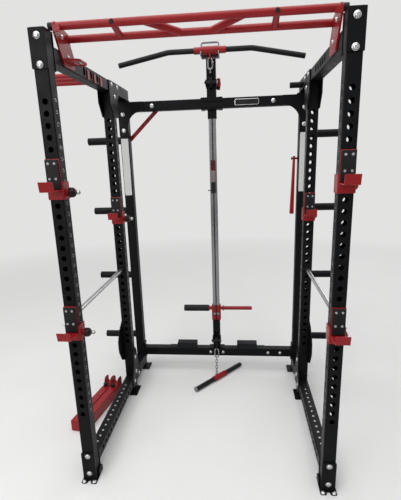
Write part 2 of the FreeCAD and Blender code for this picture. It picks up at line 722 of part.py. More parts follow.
def make_feet():
    feet = []
    for name, side in SIDES.items():
        feet.append(front_foot(f"front_foot_{name}", side))
        feet.append(floor_flange(f"rear_foot_{name}", side, d.inner_foot_reach, rear - d.rear_foot_front,
                                 rear + d.tube + d.plate))
        feet.append(floor_flange(f"lat_foot_{name}", side, d.lat_foot_reach, lat - d.lat_foot_front,
                                 lat + d.tube + d.foot_overhang))
    node(group("feet", feet))


def make_joint_plates():
    """Inner and outer plates that clamp the rear uprights to the side beams, rails and ties."""
    arm_start = rear - d.arm_front
    arm_end = lat - d.arm_end_gap
    leg_end = rear + d.leg_width
    arm_bottom = beam_top - d.arm_height
    upper = [
        (arm_start, beam_top, 6), (arm_end, beam_top, 12), (arm_end, arm_bottom, 6),
        (leg_end + 30, arm_bottom, 10), (leg_end, arm_bottom - 35, 10), (leg_end, leg_bottom, 6),
        (rear - 5, leg_bottom, 6), (arm_start, arm_bottom - d.arm_slope, 10)]
    bolt_y = rear + d.upright_bolt_set
    beam_bolt = (rear - d.side_bolt_inset, beam_level + d.beam_bolt_lift)
    tie_bolt = (tie_start + d.tie_bolt_inset, beam_level + d.beam_bolt_lift)
    upper_holes = [(*beam_bolt, bolt_hole), (*tie_bolt, bolt_hole), (bolt_y, upright_bolt_top, bolt_hole)]
    rail_top = d.rail_level + d.tube / 2
    rail_bottom = d.rail_level - d.tube / 2
    leg_right = rear + d.low_leg_width - 7
    lower = [
        (rear - d.low_arm_front, rail_bottom, 6), (arm_end, rail_bottom, 8), (arm_end - 12, rail_top, 10),
        (leg_right + 45, rail_top + 20, 20), (leg_right, d.low_leg_top, 10), (rear - 7, d.low_leg_top, 10),
        (rear - 16, rail_top + 60, 15), (rear - d.low_arm_front, rail_top, 12)]
    high_bolt = d.upright_bolt_low + d.upright_bolt_pitch
    lower_bolts = [(rear - d.side_bolt_inset, d.rail_level), (tie_start + d.tie_bolt_inset, d.rail_level),
                   (bolt_y, d.upright_bolt_low), (bolt_y, high_bolt)]
    lower_holes = [(*place_, bolt_hole) for place_ in lower_bolts]
    middle = (d.guard_top + d.guard_bottom) / 2
    guard = [
        (rear + d.tube, d.guard_bottom, 8), (rear + d.tube, d.guard_top, 10), (rear + 27, d.guard_top, 10),
        (rear - 58, d.guard_top - 54, 25), (rear - d.guard_bulge, middle + 30, 40),
        (rear - d.guard_bulge, middle - 40, 40), (rear - 43, d.guard_bottom + 23, 20), (rear, d.guard_bottom, 10)]
    guard_holes = [(bolt_y, high_bolt, bolt_hole), (bolt_y, d.guard_top - 30, d.pin_hole_radius)]
    plates = []
    for name, side in SIDES.items():
        inner_face = side * inner_x - (d.plate if side > 0 else 0)
        outer_face = side * outer_x - (0 if side > 0 else d.plate)
        shapes = {
            "upper_inner": plate_shape("yz", inner_face, d.plate, upper, upper_holes),
            "upper_outer": plate_shape("yz", outer_face, d.plate, upper, upper_holes),
            "lower_inner": plate_shape("yz", inner_face, d.plate, lower, lower_holes),
            "outer_guard": plate_shape("yz", outer_face, d.plate, guard, guard_holes),
        }
        for label, shape in shapes.items():
            plates.append(feature(f"{label}_plate_{name}", shape))
        inner_edge = side * (inner_x - d.plate)
        for y, z in (beam_bolt, tie_bolt, (bolt_y, upright_bolt_top)):
            bolt((inner_edge, y, z), (side, 0, 0), d.tube + 2 * d.plate)
        for y, z in lower_bolts[:3]:
            bolt((inner_edge, y, z), (side, 0, 0), d.tube + d.plate)
        bolt((inner_edge, bolt_y, high_bolt), (side, 0, 0), d.tube + 2 * d.plate)
    node(group("joint_plates", plates))


# ---------------------------------------------------------------------------------------------------------------
# rear crossmembers


def make_top_crossmember():
    length = d.rack_width - 2 * d.tube
    centre = length / 2
    rows = [
        HoleRow("front", bolt_hole, centre - d.member_bolt_x, 2 * d.member_bolt_x, 2),
        HoleRow("side", d.cable_hole_radius, centre, across=d.cable_y - d.tube / 2),
        HoleRow("side", bolt_hole, centre - d.saddle_bolt_x, 2 * d.saddle_bolt_x, 2),
    ]
    tube = steel_tube("top_crossmember_tube", length, (-inner_x, member_y, top_member_level), "x", rows)
    pieces = [tube]
    for name, side in SIDES.items():
        reach = side * (inner_x - d.gusset_reach)
        post = side * inner_x
        edge = side * outer_x
        outline = [
            (edge, gusset_leg, 4), (edge, member_top + 8, 4), (side * (inner_x - 20), member_top + 8, 4),
            (side * (inner_x - 20), member_top), (reach, member_top), (reach, member_bottom),
            (post, member_bottom, d.gusset_radius), (post, gusset_leg, 4)]
        holes = [(side * post_x, post_bolt_top - n * d.post_bolt_pitch, bolt_hole) for n in (0, 1)]
        holes.append((side * post_x, post_bolt_top - d.post_bolt_pitch / 2, 4))
        pieces.append(feature(f"gusset_plate_{name}", plate_shape("xz", lat - d.plate, d.plate, outline, holes)))
        bolt((side * d.member_bolt_x, lat, top_member_level), (0, 1, 0), d.tube)
    node(fuse("top_crossmember", *pieces))
    badge_edge = d.badge_x + d.badge_length
    half = d.badge_height / 2
    badge = [(d.badge_x, top_member_level - half, 12), (badge_edge, top_member_level - half, 12),
             (badge_edge, top_member_level + half, 12), (d.badge_x, top_member_level + half, 12)]
    node(feature("nameplate", plate_shape("xz", lat - d.badge_thickness, d.badge_thickness, badge)))


def make_bottom_crossmember():
    length = d.rack_width - 2 * d.tube - 2 * d.plate
    centre = length / 2
    rows = [
        HoleRow("front", bolt_hole, centre - d.low_bolt_inner_x, 2 * d.low_bolt_inner_x, 2),
        HoleRow("front", bolt_hole, centre + d.low_bolt_x, d.low_bolt_pitch, 2),
    ]
    tube = steel_tube("bottom_crossmember_tube", length, (-length / 2, member_y, d.low_member_level), "x", rows)
    pieces = [tube]
    for name, side in SIDES.items():
        face = side * inner_x - (d.plate if side > 0 else 0)
        bottom = d.low_member_level - d.flange_height / 2
        top = d.low_member_level + d.flange_height / 2
        holes = [(member_y, d.low_member_level + n * d.flange_bolt_pitch / 2, bolt_hole) for n in (-1, 1)]
        shape = plate_shape("yz", face, d.plate, [
            (lat, bottom, 4), (lat + d.tube, bottom, 4), (lat + d.tube, top, 4), (lat, top, 4)], holes)
        pieces.append(feature(f"bottom_flange_{name}", shape))
    node(fuse("bottom_crossmember", *pieces))
    for x in (-d.low_bolt_inner_x, d.low_bolt_inner_x, d.low_bolt_x, d.low_bolt_x + d.low_bolt_pitch):
        bolt((x, lat, d.low_member_level), (0, 1, 0), d.tube, None, d.low_bolt_head)
    blocks = []
    for name, side in SIDES.items():
        near = side * d.block_x
        far = side * (d.block_x + d.block_length)
        top = low_member_top + d.block_height
        base_end = side * (d.block_x + d.block_length + d.block_base_length)
        base_top = low_member_top + d.block_base
        outline = [(near, low_member_top), (base_end, low_member_top), (base_end, base_top), (far, base_top),
                   (far, top, d.block_corner), (near, top, d.block_corner)]
        blocks.append(feature(f"foot_block_{name}", plate_shape("xz", lat, d.tube, outline)))
    node(group("foot_blocks", blocks))


def make_corner_brace():
    """A flat bar bolted across the back of the left rear corner."""
    low = point(-d.brace_low_x, 0, brace_low_z)
    high = point(-d.brace_top_x, 0, brace_top_z)
    shape = slot_shape("xz", lat + d.tube, d.plate, (low.x, low.z), (high.x, high.z), d.brace_width / 2)
    for end in (low, high):
        stud((end.x, lat + d.tube + d.plate, end.z), (0, -1, 0), 0, d.anchor_radius, d.brace_width / 2 - 3)
    node(feature("corner_brace", shape))


# ---------------------------------------------------------------------------------------------------------------
# pull-up bar


def make_pullup_bar():
    front_tube = cylinder("pullup_front_rod", d.grip_radius, 2 * d.front_grip_overhang,
                          (-d.front_grip_overhang, front + d.front_grip_y, front_grip_z), "x")
    front_bore = cylinder("pullup_front_bore", d.grip_radius - d.tube_wall, 2 * d.front_grip_overhang,
                          (-d.front_grip_overhang, front + d.front_grip_y, front_grip_z), "x")
    node(cut("pullup_front_tube", front_tube, front_bore))
    half = inner_x - d.bracket
    rear_tube = Part.makeCylinder(float(d.grip_radius), float(2 * half),
                                  point(-half, front + d.rear_grip_y, rear_grip_z), Vector(1, 0, 0))
    grips = []
    for side in (-1, 1):
        rear_end = point(side * d.bent_inner_x, front + d.rear_grip_y, rear_grip_z)
        front_end = point(side * d.bent_outer_x, front + d.front_grip_y, front_grip_z)
        run = front_end - rear_end
        grips.append(Part.makeCylinder(float(d.grip_radius), run.Length, rear_end, run))
        brace_rear = point(side * d.brace_x, front + d.rear_grip_y, rear_grip_z)
        brace_run = point(side * d.brace_x, front + d.front_grip_y, front_grip_z) - brace_rear
        grips.append(Part.makeCylinder(float(d.grip_radius) - 1.5, brace_run.Length, brace_rear, brace_run))
    clear = Part.makeCylinder(float(d.grip_radius), float(2 * d.front_grip_overhang),
                              point(-d.front_grip_overhang, front + d.front_grip_y, front_grip_z),
                              Vector(1, 0, 0))
    welded = rear_tube.fuse(grips).cut(clear).removeSplitter()
    node(feature("pullup_rear_tube", max(welded.Solids, key=lambda solid: solid.Volume)))
    brackets = []
    for name, side in SIDES.items():
        face = side * inner_x - (d.bracket if side > 0 else 0)
        top = front_grip_z + d.grip_radius
        y0 = front
        outline = [
            (y0 + d.front_grip_y - d.flange_set, top, 14), (y0 + d.front_grip_y + 25, top + 2, 8),
            (y0 + d.rear_grip_y + 16, rear_grip_z + 18, 10), (y0 + d.rear_grip_y + 20, rear_grip_z - 20, 12),
            (y0 + d.bracket_back, beam_top, 8), (y0 + d.bracket_back, bracket_bottom, 8),
            (y0 + d.bracket_waist, bracket_bottom, 20), (y0 + d.bracket_waist - 38, beam_top - 4, 8),
            (y0 + d.front_grip_y - d.flange_set, front_grip_z - 24, 8)]
        screws = [(y0 + d.bracket_bolt_y, beam_top - 14), (y0 + d.bracket_top_bolt_y, bracket_top_bolt_z)]
        holes = [(y0 + d.front_grip_y, front_grip_z, d.grip_radius + 0.3)]
        holes += [(*screw, d.anchor_radius + d.bolt_clearance) for screw in screws]
        shape = plate_shape("yz", face, d.bracket, outline, holes)
        wall = side * inner_x
        if side < 0:
            reach = d.eye_reach - inner_x
            eye = plate_shape("xy", eye_level - d.bracket / 2, d.bracket, [
                (wall, y0 + d.eye_front, 0), (wall, y0 + d.bracket_back, 0), (reach, y0 + d.eye_back, 30),
                (reach, y0 + d.eye_front + 20, 20)])
            centre_x = reach - d.eye_slot_radius - 14
            slot_end = y0 + d.eye_back - 36
            slot = slot_shape("xy", eye_level - d.bracket, 2 * d.bracket,
                              (centre_x, slot_end - d.eye_slot + 2 * d.eye_slot_radius), (centre_x, slot_end),
                              d.eye_slot_radius)
            shape = shape.fuse(eye).cut(slot)
        flange_low = point(0, y0 + d.front_grip_y - d.flange_set, front_grip_z - 24)
        flange_high = point(0, y0 + d.front_grip_y - d.flange_set, top - 14)
        x_low = min(float(wall), float(side * (inner_x - d.bracket_front_edge)))
        flange = Part.makeBox(float(d.bracket_front_edge), 4, flange_high.z - flange_low.z,
                              point(x_low, flange_low.y, flange_low.z))
        brackets.append(feature(f"pullup_bracket_{name}", shape.fuse(flange).removeSplitter()))
        for y, z in screws:
            stud((side * (inner_x - d.bracket), y, z), (side, 0, 0), d.bracket, d.anchor_radius, 10)
    node(group("pullup_brackets", brackets))


# ---------------------------------------------------------------------------------------------------------------
# storage pieces


def make_storage():
    pegs = []
    for name, side in SIDES.items():
        for number in range(int(float(d.peg_count))):
            start = outer_x if side > 0 else -outer_x - d.peg_length
            at = (start, lat + d.peg_y, peg_top - number * d.peg_pitch)
            bore_start = start + (0 if side > 0 else d.peg_wall)
            bore_at = (bore_start, lat + d.peg_y, peg_top - number * d.peg_pitch)
            rod = cylinder(f"peg_{name}_{number}_rod", d.peg_radius, d.peg_length, at, "x")
            bore = cylinder(f"peg_{name}_{number}_bore", d.peg_radius - d.peg_wall, d.peg_length - d.peg_wall,
                            bore_at, "x")
            pegs.append(cut(f"peg_{name}_{number}", rod, bore))
    node(group("weight_pegs", pegs))
    tubes = []
    seat = beam_level - (d.slot_height - d.slot_width) / 2 - d.side_tube_clearance
    for number in range(3):
        y = front + d.slot_first + (2 * number + 1) * d.hole_pitch
        start = -outer_x - d.side_tube_reach
        length = d.side_tube_reach + d.tube
        rod = cylinder(f"side_tube_{number}_rod", d.side_tube_radius, length, (start, y, seat), "x")
        bore = cylinder(f"side_tube_{number}_bore", d.side_tube_radius - d.tube_wall, length, (start, y, seat), "x")
        tube = cut(f"side_tube_{number}_tube", rod, bore)
        half = d.side_flange_width / 2
        flange = feature(f"side_tube_{number}_flange", plate_shape("yz", -inner_x, d.side_flange, [
            (y - half, seat - d.side_flange_height / 2, half - 1), (y + half, seat - d.side_flange_height / 2, half - 1),
            (y + half, seat + d.side_flange_height / 2, half - 1),
            (y - half, seat + d.side_flange_height / 2, half - 1)]))
        tubes.append(fuse(f"side_tube_{number}", tube, flange))
    node(group("side_tubes", tubes))
    peg = cylinder("band_peg", d.inner_peg_radius, d.inner_peg_length,
                   (inner_x - d.plate - d.inner_peg_length, front + d.inner_peg_y, inner_peg_level), "x")
    hang_rod = cylinder("hang_peg_rod", d.hang_peg_radius, d.hang_peg_length,
                        (inner_x - d.hang_peg_length, lat + d.hang_y, hang_z), "x")
    hang_head = cylinder("hang_peg_head", d.hang_peg_radius + 5, 3,
                         (inner_x - d.hang_peg_length, lat + d.hang_y, hang_z), "x")
    node(group("inner_pegs", [peg, fuse("hang_peg", hang_rod, hang_head)]))
    hang_centre = inner_x - d.hang_inset - d.hang_top_width / 2
    eye_top = hang_z + d.hang_eye_radius
    eye_low = hang_z - d.hang_eye_radius
    bottom = eye_low - d.hang_length + 2 * d.hang_eye_radius
    top_half = d.hang_top_width / 2
    y = lat + d.hang_y
    blade = plate_shape("xz", y - d.hang_depth / 2, d.hang_depth, [
        (hang_centre + top_half, eye_top, 2), (hang_centre - top_half, eye_top, 2),
        (hang_centre + top_half - d.hang_width, bottom, 3), (hang_centre + top_half, bottom, 3)])
    eye_hole = Part.makeCylinder(float(d.hang_peg_radius + d.sleeve_fit), float(4 * d.hang_width),
                                 point(hang_centre - 2 * d.hang_width, y, hang_z), Vector(1, 0, 0))
    node(feature("hanging_bar", blade.cut(eye_hole)))


# ---------------------------------------------------------------------------------------------------------------
# safety rods and bar cups


def make_safety_rods():
    for name, side in SIDES.items():
        level = d.hole_first + d.rod_level_hole * d.hole_pitch
        length = d.cage_depth + d.tube + d.rod_end_past - d.rod_inset
        node(cylinder(f"safety_rod_{name}", d.hole_radius - d.rod_clearance, length,
                      (side * post_x, front + d.rod_inset, level), "y"))


CUPS = {
    "front_upper_left": (-1, front, d.upper_cup_hole, d.upper_lip_reach),
    "front_upper_right": (1, front, d.upper_cup_hole, d.upper_lip_reach),
    "front_lower_left": (-1, front, d.lower_cup_hole, d.lower_lip_reach),
    "front_lower_right": (1, front, d.lower_cup_hole, d.lower_lip_reach),
    "rear_left": (-1, rear, d.rear_cup_hole, d.upper_lip_reach),
    "rear_right": (1, rear, d.rear_cup_hole, d.upper_lip_reach),
}


def make_cup(name, side, face, hole, reach):
    """A bent-plate bar cup held by a sprung pin on its +X side, a liner on its back plate and the pin itself.

    The pins of the left cups end in a knob with a ball, those of the right cups in a low head.
    """
    x = side * post_x
    z = pin_row_first + hole * d.hole_pitch
    inside = d.tube / 2 + d.cup_clearance
    outside = inside + d.cup_plate
    back = face - d.cup_clearance
    skin = back - d.cup_plate
    lip = face - reach
    floor = z + d.floor_level
    sheet_outline = [
        (back, z - d.cup_drop), (back, z + d.cup_rise, 2), (skin, z + d.cup_rise, 2),
        (skin, floor + d.cup_plate, d.cup_fold), (lip + 12, floor + d.cup_plate, 3), (lip + 5, z + d.lip_top, 2),
        (lip, z + d.lip_top), (lip + 7, floor, 5), (skin, floor, 0), (skin, z - d.cup_drop)]
    solid = plate_shape("yz", x - d.tube / 2, d.tube, sheet_outline)
    bore = d.pin_radius + d.axle_clearance
    rear_edge = face + d.cup_side_depth
    channel = plate_shape("xy", z - d.cup_drop, d.cup_drop + d.cup_side_top, [
        (x - outside, rear_edge), (x - outside, skin, d.cup_corner), (x + outside, skin, d.cup_corner),
        (x + outside, rear_edge), (x + inside, rear_edge), (x + inside, back, 1), (x - inside, back, 1),
        (x - inside, rear_edge)])
    solid = solid.fuse(channel)
    boss = Part.makeCylinder(float(d.boss_radius), float(d.boss_length), point(x + outside, face + pin_y, z),
                             Vector(1, 0, 0))
    hole_tool = Part.makeCylinder(float(bore), float(d.boss_length) + 20,
                                  point(x + inside - 1, face + pin_y, z), Vector(1, 0, 0))
    node(feature(f"bar_cup_{name}", solid.fuse(boss).cut(hole_tool).removeSplitter()))
    half = d.tube / 2 - d.liner_margin
    liner_low = floor + d.cup_plate + d.cup_fold + d.cup_clearance
    liner_outline = [
        (x - half, liner_low, 3), (x + half, liner_low, 3), (x + half, z + d.cup_rise - d.liner_margin, 3),
        (x - half, z + d.cup_rise - d.liner_margin, 3)]
    liner = feature(f"cup_liner_{name}", plate_shape("xz", skin - d.liner, d.liner, liner_outline))
    knob_x = x + outside + d.boss_length + d.lever_gap
    rod = cylinder(f"cup_pin_{name}_rod", d.pin_radius, knob_x - x - d.pin_tip_x + 1,
                   (x + d.pin_tip_x, face + pin_y, z), "x")
    if side > 0:
        head = cylinder(f"cup_pin_{name}_head", d.pin_head_radius, d.pin_head_length,
                        (knob_x, face + pin_y, z), "x")
        node(fuse(f"cup_pin_{name}", rod, head))
        return liner
    knob = cone(f"cup_pin_{name}_knob", d.knob_radius, d.knob_radius - 7, d.knob_length,
                (knob_x, face + pin_y, z), "x")
    ball = sphere(f"cup_pin_{name}_ball", d.ball_radius, (knob_x + d.knob_length + d.ball_neck, face + pin_y, z))
    node(fuse(f"cup_pin_{name}", rod, knob, ball))
    return liner


def make_cups():
    liners = [make_cup(name, *settings) for name, settings in CUPS.items()]
    node(group("cup_liners", liners))


# ---------------------------------------------------------------------------------------------------------------
# lat tower

pulley_y = cable_y - d.pulley_run
low_pulley_y = cable_y - d.low_pulley_run


def cheeks(half_width, centre_y, centre_z, radius, back):
    """Two ears that carry a pulley's axle in front of a column."""
    ears = []
    for side in (-1, 1):
        start = half_width if side > 0 else -half_width - d.cheek
        reach = d.axle_radius + d.cheek_margin
        ears.append(plate_shape("yz", start, d.cheek, [
            (centre_y - reach, centre_z - reach, reach * 0.9), (back, centre_z - radius, 3),
            (back, centre_z + radius, 3), (centre_y - reach, centre_z + reach, reach * 0.9)],
            [(centre_y, centre_z, d.axle_radius + d.bolt_clearance)]))
    return ears


def make_column():
    bottom = member_top + d.plate
    tube = steel_tube("lat_column_tube", column_height - bottom, (0, member_y, bottom))
    slot = feature("lat_column_slot", slot_shape(
        "xz", lat - 1, d.tube_wall + 2, (0, top_slot_bottom + d.pulley_slot_width / 2),
        (0, top_slot_top - d.pulley_slot_width / 2), d.pulley_slot_width / 2))
    slotted = cut("lat_column_slotted", tube, slot)
    ears = [feature(f"lat_column_ear{number}", shape) for number, shape in enumerate(
        cheeks(d.tube / 2, pulley_y, pulley_z, d.pulley_radius * 0.8, lat + d.tube * 0.6))]
    ear_x = d.tube / 2 + d.cheek
    tab = box("lever_tab", (d.lever_x - d.tube / 2 + 8, d.plate, 16),
              (d.tube / 2, lat + d.tube - 16, lever_z - 8))
    pin = cylinder("lever_pin", d.lever_pin_radius, d.plate + d.lever_gap + d.lever_thickness + 1,
                   (d.lever_x, lat + d.tube - 16, lever_z), "y")
    node(fuse("lat_column", slotted, *ears, tab, pin))
    grip = 2 * ear_x
    bolt((-ear_x, pulley_y, pulley_z), (1, 0, 0), grip, d.axle_radius, d.axle_radius + 4)
    top_outline = [(-d.saddle_half, lat - d.saddle_margin, 4), (d.saddle_half, lat - d.saddle_margin, 4),
                   (d.saddle_half, lat + d.tube + d.saddle_margin, 4),
                   (-d.saddle_half, lat + d.tube + d.saddle_margin, 4)]
    holes = [(0, cable_y, d.cable_hole_radius), (-d.saddle_bolt_x, member_y, bolt_hole),
             (d.saddle_bolt_x, member_y, bolt_hole)]
    top = plate_shape("xy", member_top, d.plate, top_outline, holes)
    for y in (lat - d.saddle_margin, lat + d.tube):
        lip = Part.makeBox(float(2 * d.saddle_half), float(d.saddle_margin), float(d.saddle_lip),
                           point(-d.saddle_half, y, member_top - d.saddle_lip + d.plate))
        top = top.fuse(lip)
    low = plate_shape("xy", member_bottom - d.plate, d.plate, top_outline, holes)
    socket_half = d.rail_width / 2 + d.block_wall + d.slide_clearance
    depth_half = d.rail_depth / 2 + d.block_wall + d.slide_clearance
    rail_centre = lat + d.rail_y
    socket_z = member_bottom - d.plate - d.socket_height
    outer = Part.makeBox(float(2 * socket_half), float(2 * depth_half), float(d.socket_height),
                         point(-socket_half, rail_centre - depth_half, socket_z))
    inner = Part.makeBox(float(d.rail_width), float(d.rail_depth), float(d.socket_height),
                         point(-d.rail_width / 2, rail_centre - d.rail_depth / 2, socket_z))
    low = low.fuse(outer.cut(inner)).removeSplitter()
    node(group("column_saddle", [feature("saddle_top", top.removeSplitter()), feature("saddle_socket", low)]))
    for side in (-1, 1):
        bolt((side * d.saddle_bolt_x, member_y, member_top + d.plate), (0, 0, -1), d.tube + 2 * d.plate)
    rail_length = member_bottom - d.plate - lower_column_top
    node(steel_tube("guide_rail", rail_length, (0, rail_centre, lower_column_top), "z", (),
                    d.rail_width, d.rail_depth))


def make_lower_column():
    bottom = low_member_top + d.plate
    height = lower_column_top - bottom
    tube = steel_tube("lower_column_tube", height, (0, member_y, bottom), "z", (), d.lower_column_width, d.tube)
    half = d.lower_column_width / 2
    slot = feature("lower_column_slot", slot_shape(
        "xz", lat - 1, d.tube_wall + 2, (0, low_slot_bottom + d.pulley_slot_width / 2),
        (0, low_slot_top - d.pulley_slot_width / 2), d.pulley_slot_width / 2))
    slotted = cut("lower_column_slotted", tube, slot)
    wall = half - d.tube_wall
    cap = plate_shape("xy", lower_column_top - d.plate, d.plate, [
        (-wall, lat + d.tube_wall), (wall, lat + d.tube_wall), (wall, lat + d.tube - d.tube_wall),
        (-wall, lat + d.tube - d.tube_wall)], [(0, cable_y, d.cable_hole_radius - 2)])
    base = plate_shape("xy", low_member_top, d.plate, [
        (-half - 30, lat, 4), (half + 30, lat, 4), (half + 30, lat + d.tube, 4), (-half - 30, lat + d.tube, 4)])
    ears = cheeks(half, low_pulley_y, d.low_pulley_z, d.low_pulley_radius * 0.9, lat + d.tube * 0.6)
    pieces = [feature("lower_column_cap", cap), feature("lower_column_base", base)]
    pieces += [feature(f"lower_column_ear{number}", shape) for number, shape in enumerate(ears)]
    node(fuse("lower_column", slotted, *pieces))
    ear_x = half + d.cheek
    bolt((-ear_x, low_pulley_y, d.low_pulley_z), (1, 0, 0), 2 * ear_x, d.axle_radius, d.axle_radius + 4)


def pulley(name, centre_y, centre_z, radius, run, ear_gap):
    """A grooved wheel whose hub turns on its axle bolt between two ears."""
    half = float(d.pulley_width) / 2
    rim = float(radius)
    groove = float(d.cable_radius + d.groove_clearance)
    depth = float(run)
    bore = float(d.axle_radius + d.axle_clearance)
    hub = bore + float(d.hub_wall)
    hub_half = float(ear_gap / 2 - d.hub_gap)
    corners = [(-hub_half, bore), (hub_half, bore), (hub_half, hub), (half, hub), (half, rim), (-half, rim),
               (-half, hub), (-hub_half, hub), (-hub_half, bore)]
    profile = Part.makePolygon([Vector(across, up, 0) for across, up in corners])
    wheel = Part.Face(profile).revolve(Vector(), Vector(1, 0, 0), 360)
    ring = Part.makeTorus(depth, groove, Vector(), Vector(1, 0, 0))
    mouth = Part.makeCylinder(rim + 1, 2 * groove, Vector(-groove, 0, 0), Vector(1, 0, 0)).cut(
        Part.makeCylinder(depth, 2 * groove, Vector(-groove, 0, 0), Vector(1, 0, 0)))
    wheel = wheel.cut([ring, mouth]).removeSplitter()
    item = feature(name, wheel)
    return node(place(item, (0, centre_y, centre_z)))


def wheel_point(centre_y, centre_z, run, angle):
    turn = math.radians(float(angle))
    return point(0, centre_y + run * math.cos(turn), centre_z + run * math.sin(turn))


def tail_run():
    """The cable's run above the top pulley: its bend, its end at the swivel ring and its way there."""
    start = wheel_point(pulley_y, pulley_z, d.pulley_run, d.top_leave_angle)
    leave = math.radians(float(d.top_leave_angle))
    ahead = Vector(0, -math.sin(leave), math.cos(leave))
    ring_end = bar_z - d.bar_eye_drop - d.bar_eye_radius + d.hook_rest - d.snap_length - d.ring_length
    target = point(0, lat - d.bar_y, ring_end + 2 * d.snap_wire + d.ring_wire + d.link_gap - 1)
    corner = start + ahead * ((target - start).Length * 0.45)
    return corner, target, (target - corner).normalize()


def make_cable():
    """One cable: from the split above the top pulley, down the column and the rail's front, to the low fitting."""
    top_way = wheel_point(pulley_y, pulley_z, d.pulley_run, d.top_leave_angle)
    top_mid = wheel_point(pulley_y, pulley_z, d.pulley_run, d.top_leave_angle / 2)
    top_side = wheel_point(pulley_y, pulley_z, d.pulley_run, 0)
    low_side = wheel_point(low_pulley_y, d.low_pulley_z, d.low_pulley_run, 0)
    low_mid = wheel_point(low_pulley_y, d.low_pulley_z, d.low_pulley_run, -d.low_leave_angle / 2)
    low_way = wheel_point(low_pulley_y, d.low_pulley_z, d.low_pulley_run, -d.low_leave_angle)
    turn = math.radians(float(d.low_leave_angle))
    ahead = Vector(0, -math.sin(turn), -math.cos(turn))
    low_end = low_way + ahead * float(d.low_lead)
    corner, target, way = tail_run()
    tail_end = target - way * float(d.tail_fitting + d.tail_split)
    edges = rounded_edges([(tail_end, 0), (corner, d.tail_bend), (top_way, 0)], False)
    edges += [
        Part.Arc(top_way, top_mid, top_side).toShape(), Part.LineSegment(top_side, low_side).toShape(),
        Part.Arc(low_side, low_mid, low_way).toShape(), Part.LineSegment(low_way, low_end).toShape()]
    circle = Part.Wire([Part.Circle(tail_end, -way, float(d.cable_radius)).toShape()])
    cable = Part.Wire(edges).makePipeShell([circle], True, False)
    fitting = Part.makeCylinder(float(d.end_fitting_radius), float(d.end_fitting_length), low_end, ahead)
    fitting_end = low_end + ahead * float(d.end_fitting_length)
    ring_centre = fitting_end + ahead * float(d.ring_length / 2 - d.ring_wire)
    level = ahead.cross(Vector(1, 0, 0)).normalize()
    ring = link_shape(ring_centre, ahead, level, d.ring_length, d.ring_width, d.ring_wire)
    node(feature("lat_cable", cable.fuse([fitting, ring]).removeSplitter()))
    return ring_centre + ahead * float(d.ring_length / 2), ahead


def make_coupler():
    """A clamp block on the cable's straight run, with a short gate lever on its left."""
    half = d.coupler_half
    back = cable_y + d.coupler_back_gap
    outline = [
        (-half, coupler_bottom, 6), (half, coupler_bottom, 6),
        (half, coupler_bottom + d.coupler_height, 6), (-half, coupler_bottom + d.coupler_height, 6)]
    block = plate_shape("xz", back - d.coupler_depth, d.coupler_depth, outline)
    bore = Part.makeCylinder(float(d.cable_radius + d.axle_clearance), float(d.coupler_height) + 2,
                             point(0, cable_y, coupler_bottom - 1), Vector(0, 0, 1))
    arm = Part.makeCylinder(float(d.coupler_arm_radius), float(d.coupler_arm + 2),
                            point(-half - d.coupler_arm, back - d.coupler_depth / 2, coupler_bottom + 18),
                            Vector(1, 0, 0))
    node(feature("cable_coupler", block.cut(bore).fuse(arm).removeSplitter()))


def make_carriage():
    centre = lat + d.rail_y
    inner_w = d.rail_width + 2 * d.slide_clearance
    inner_d = d.rail_depth + 2 * d.slide_clearance
    outer_w = inner_w + 2 * d.block_wall
    outer_d = inner_d + 2 * d.block_wall
    pieces = []
    for name, bottom, height in (("lower", lower_column_top, d.lower_block_height),
                                 ("upper", upper_block_bottom, upper_block_top - upper_block_bottom)):
        outer = box(f"{name}_block_outer", (outer_w, outer_d, height),
                    (-outer_w / 2, centre - outer_d / 2, bottom))
        inner = box(f"{name}_block_inner", (inner_w, inner_d, height),
                    (-inner_w / 2, centre - inner_d / 2, bottom))
        pieces.append(cut(f"{name}_block", outer, inner))
    span = upper_block_top - lower_column_top
    for name, side in SIDES.items():
        start = outer_w / 2 if side > 0 else -outer_w / 2 - d.block_wall
        pieces.append(box(f"carriage_cheek_{name}", (d.block_wall, d.tube / 2, span),
                          (start, centre - d.tube / 4, lower_column_top)))
        root = outer_w / 2
        horn_start = root if side > 0 else -d.horn_reach
        horn_end = d.horn_reach if side > 0 else d.sleeve_end
        horn_start = root if side > 0 else -horn_end
        pieces.append(cylinder(f"horn_{name}", d.horn_radius, horn_end - root, (horn_start, centre, horn_z), "x"))
        collar_start = d.collar_x if side > 0 else -d.collar_x - d.collar
        pieces.append(cylinder(f"collar_{name}", d.collar_radius, d.collar, (collar_start, centre, horn_z), "x"))
    node(fuse("weight_carriage", *pieces))
    sleeve_start = d.collar_x + d.collar + d.lever_gap
    length = d.sleeve_end + d.block_wall - sleeve_start
    at = (-sleeve_start - length, centre, horn_z)
    outer = cylinder("adapter_outer", d.sleeve_radius, length, at, "x")
    inner = cylinder("adapter_inner", d.horn_radius + d.sleeve_fit, length - d.block_wall + d.lever_gap,
                     (-d.sleeve_end - d.lever_gap, centre, horn_z), "x")
    node(cut("adapter_sleeve", outer, inner))


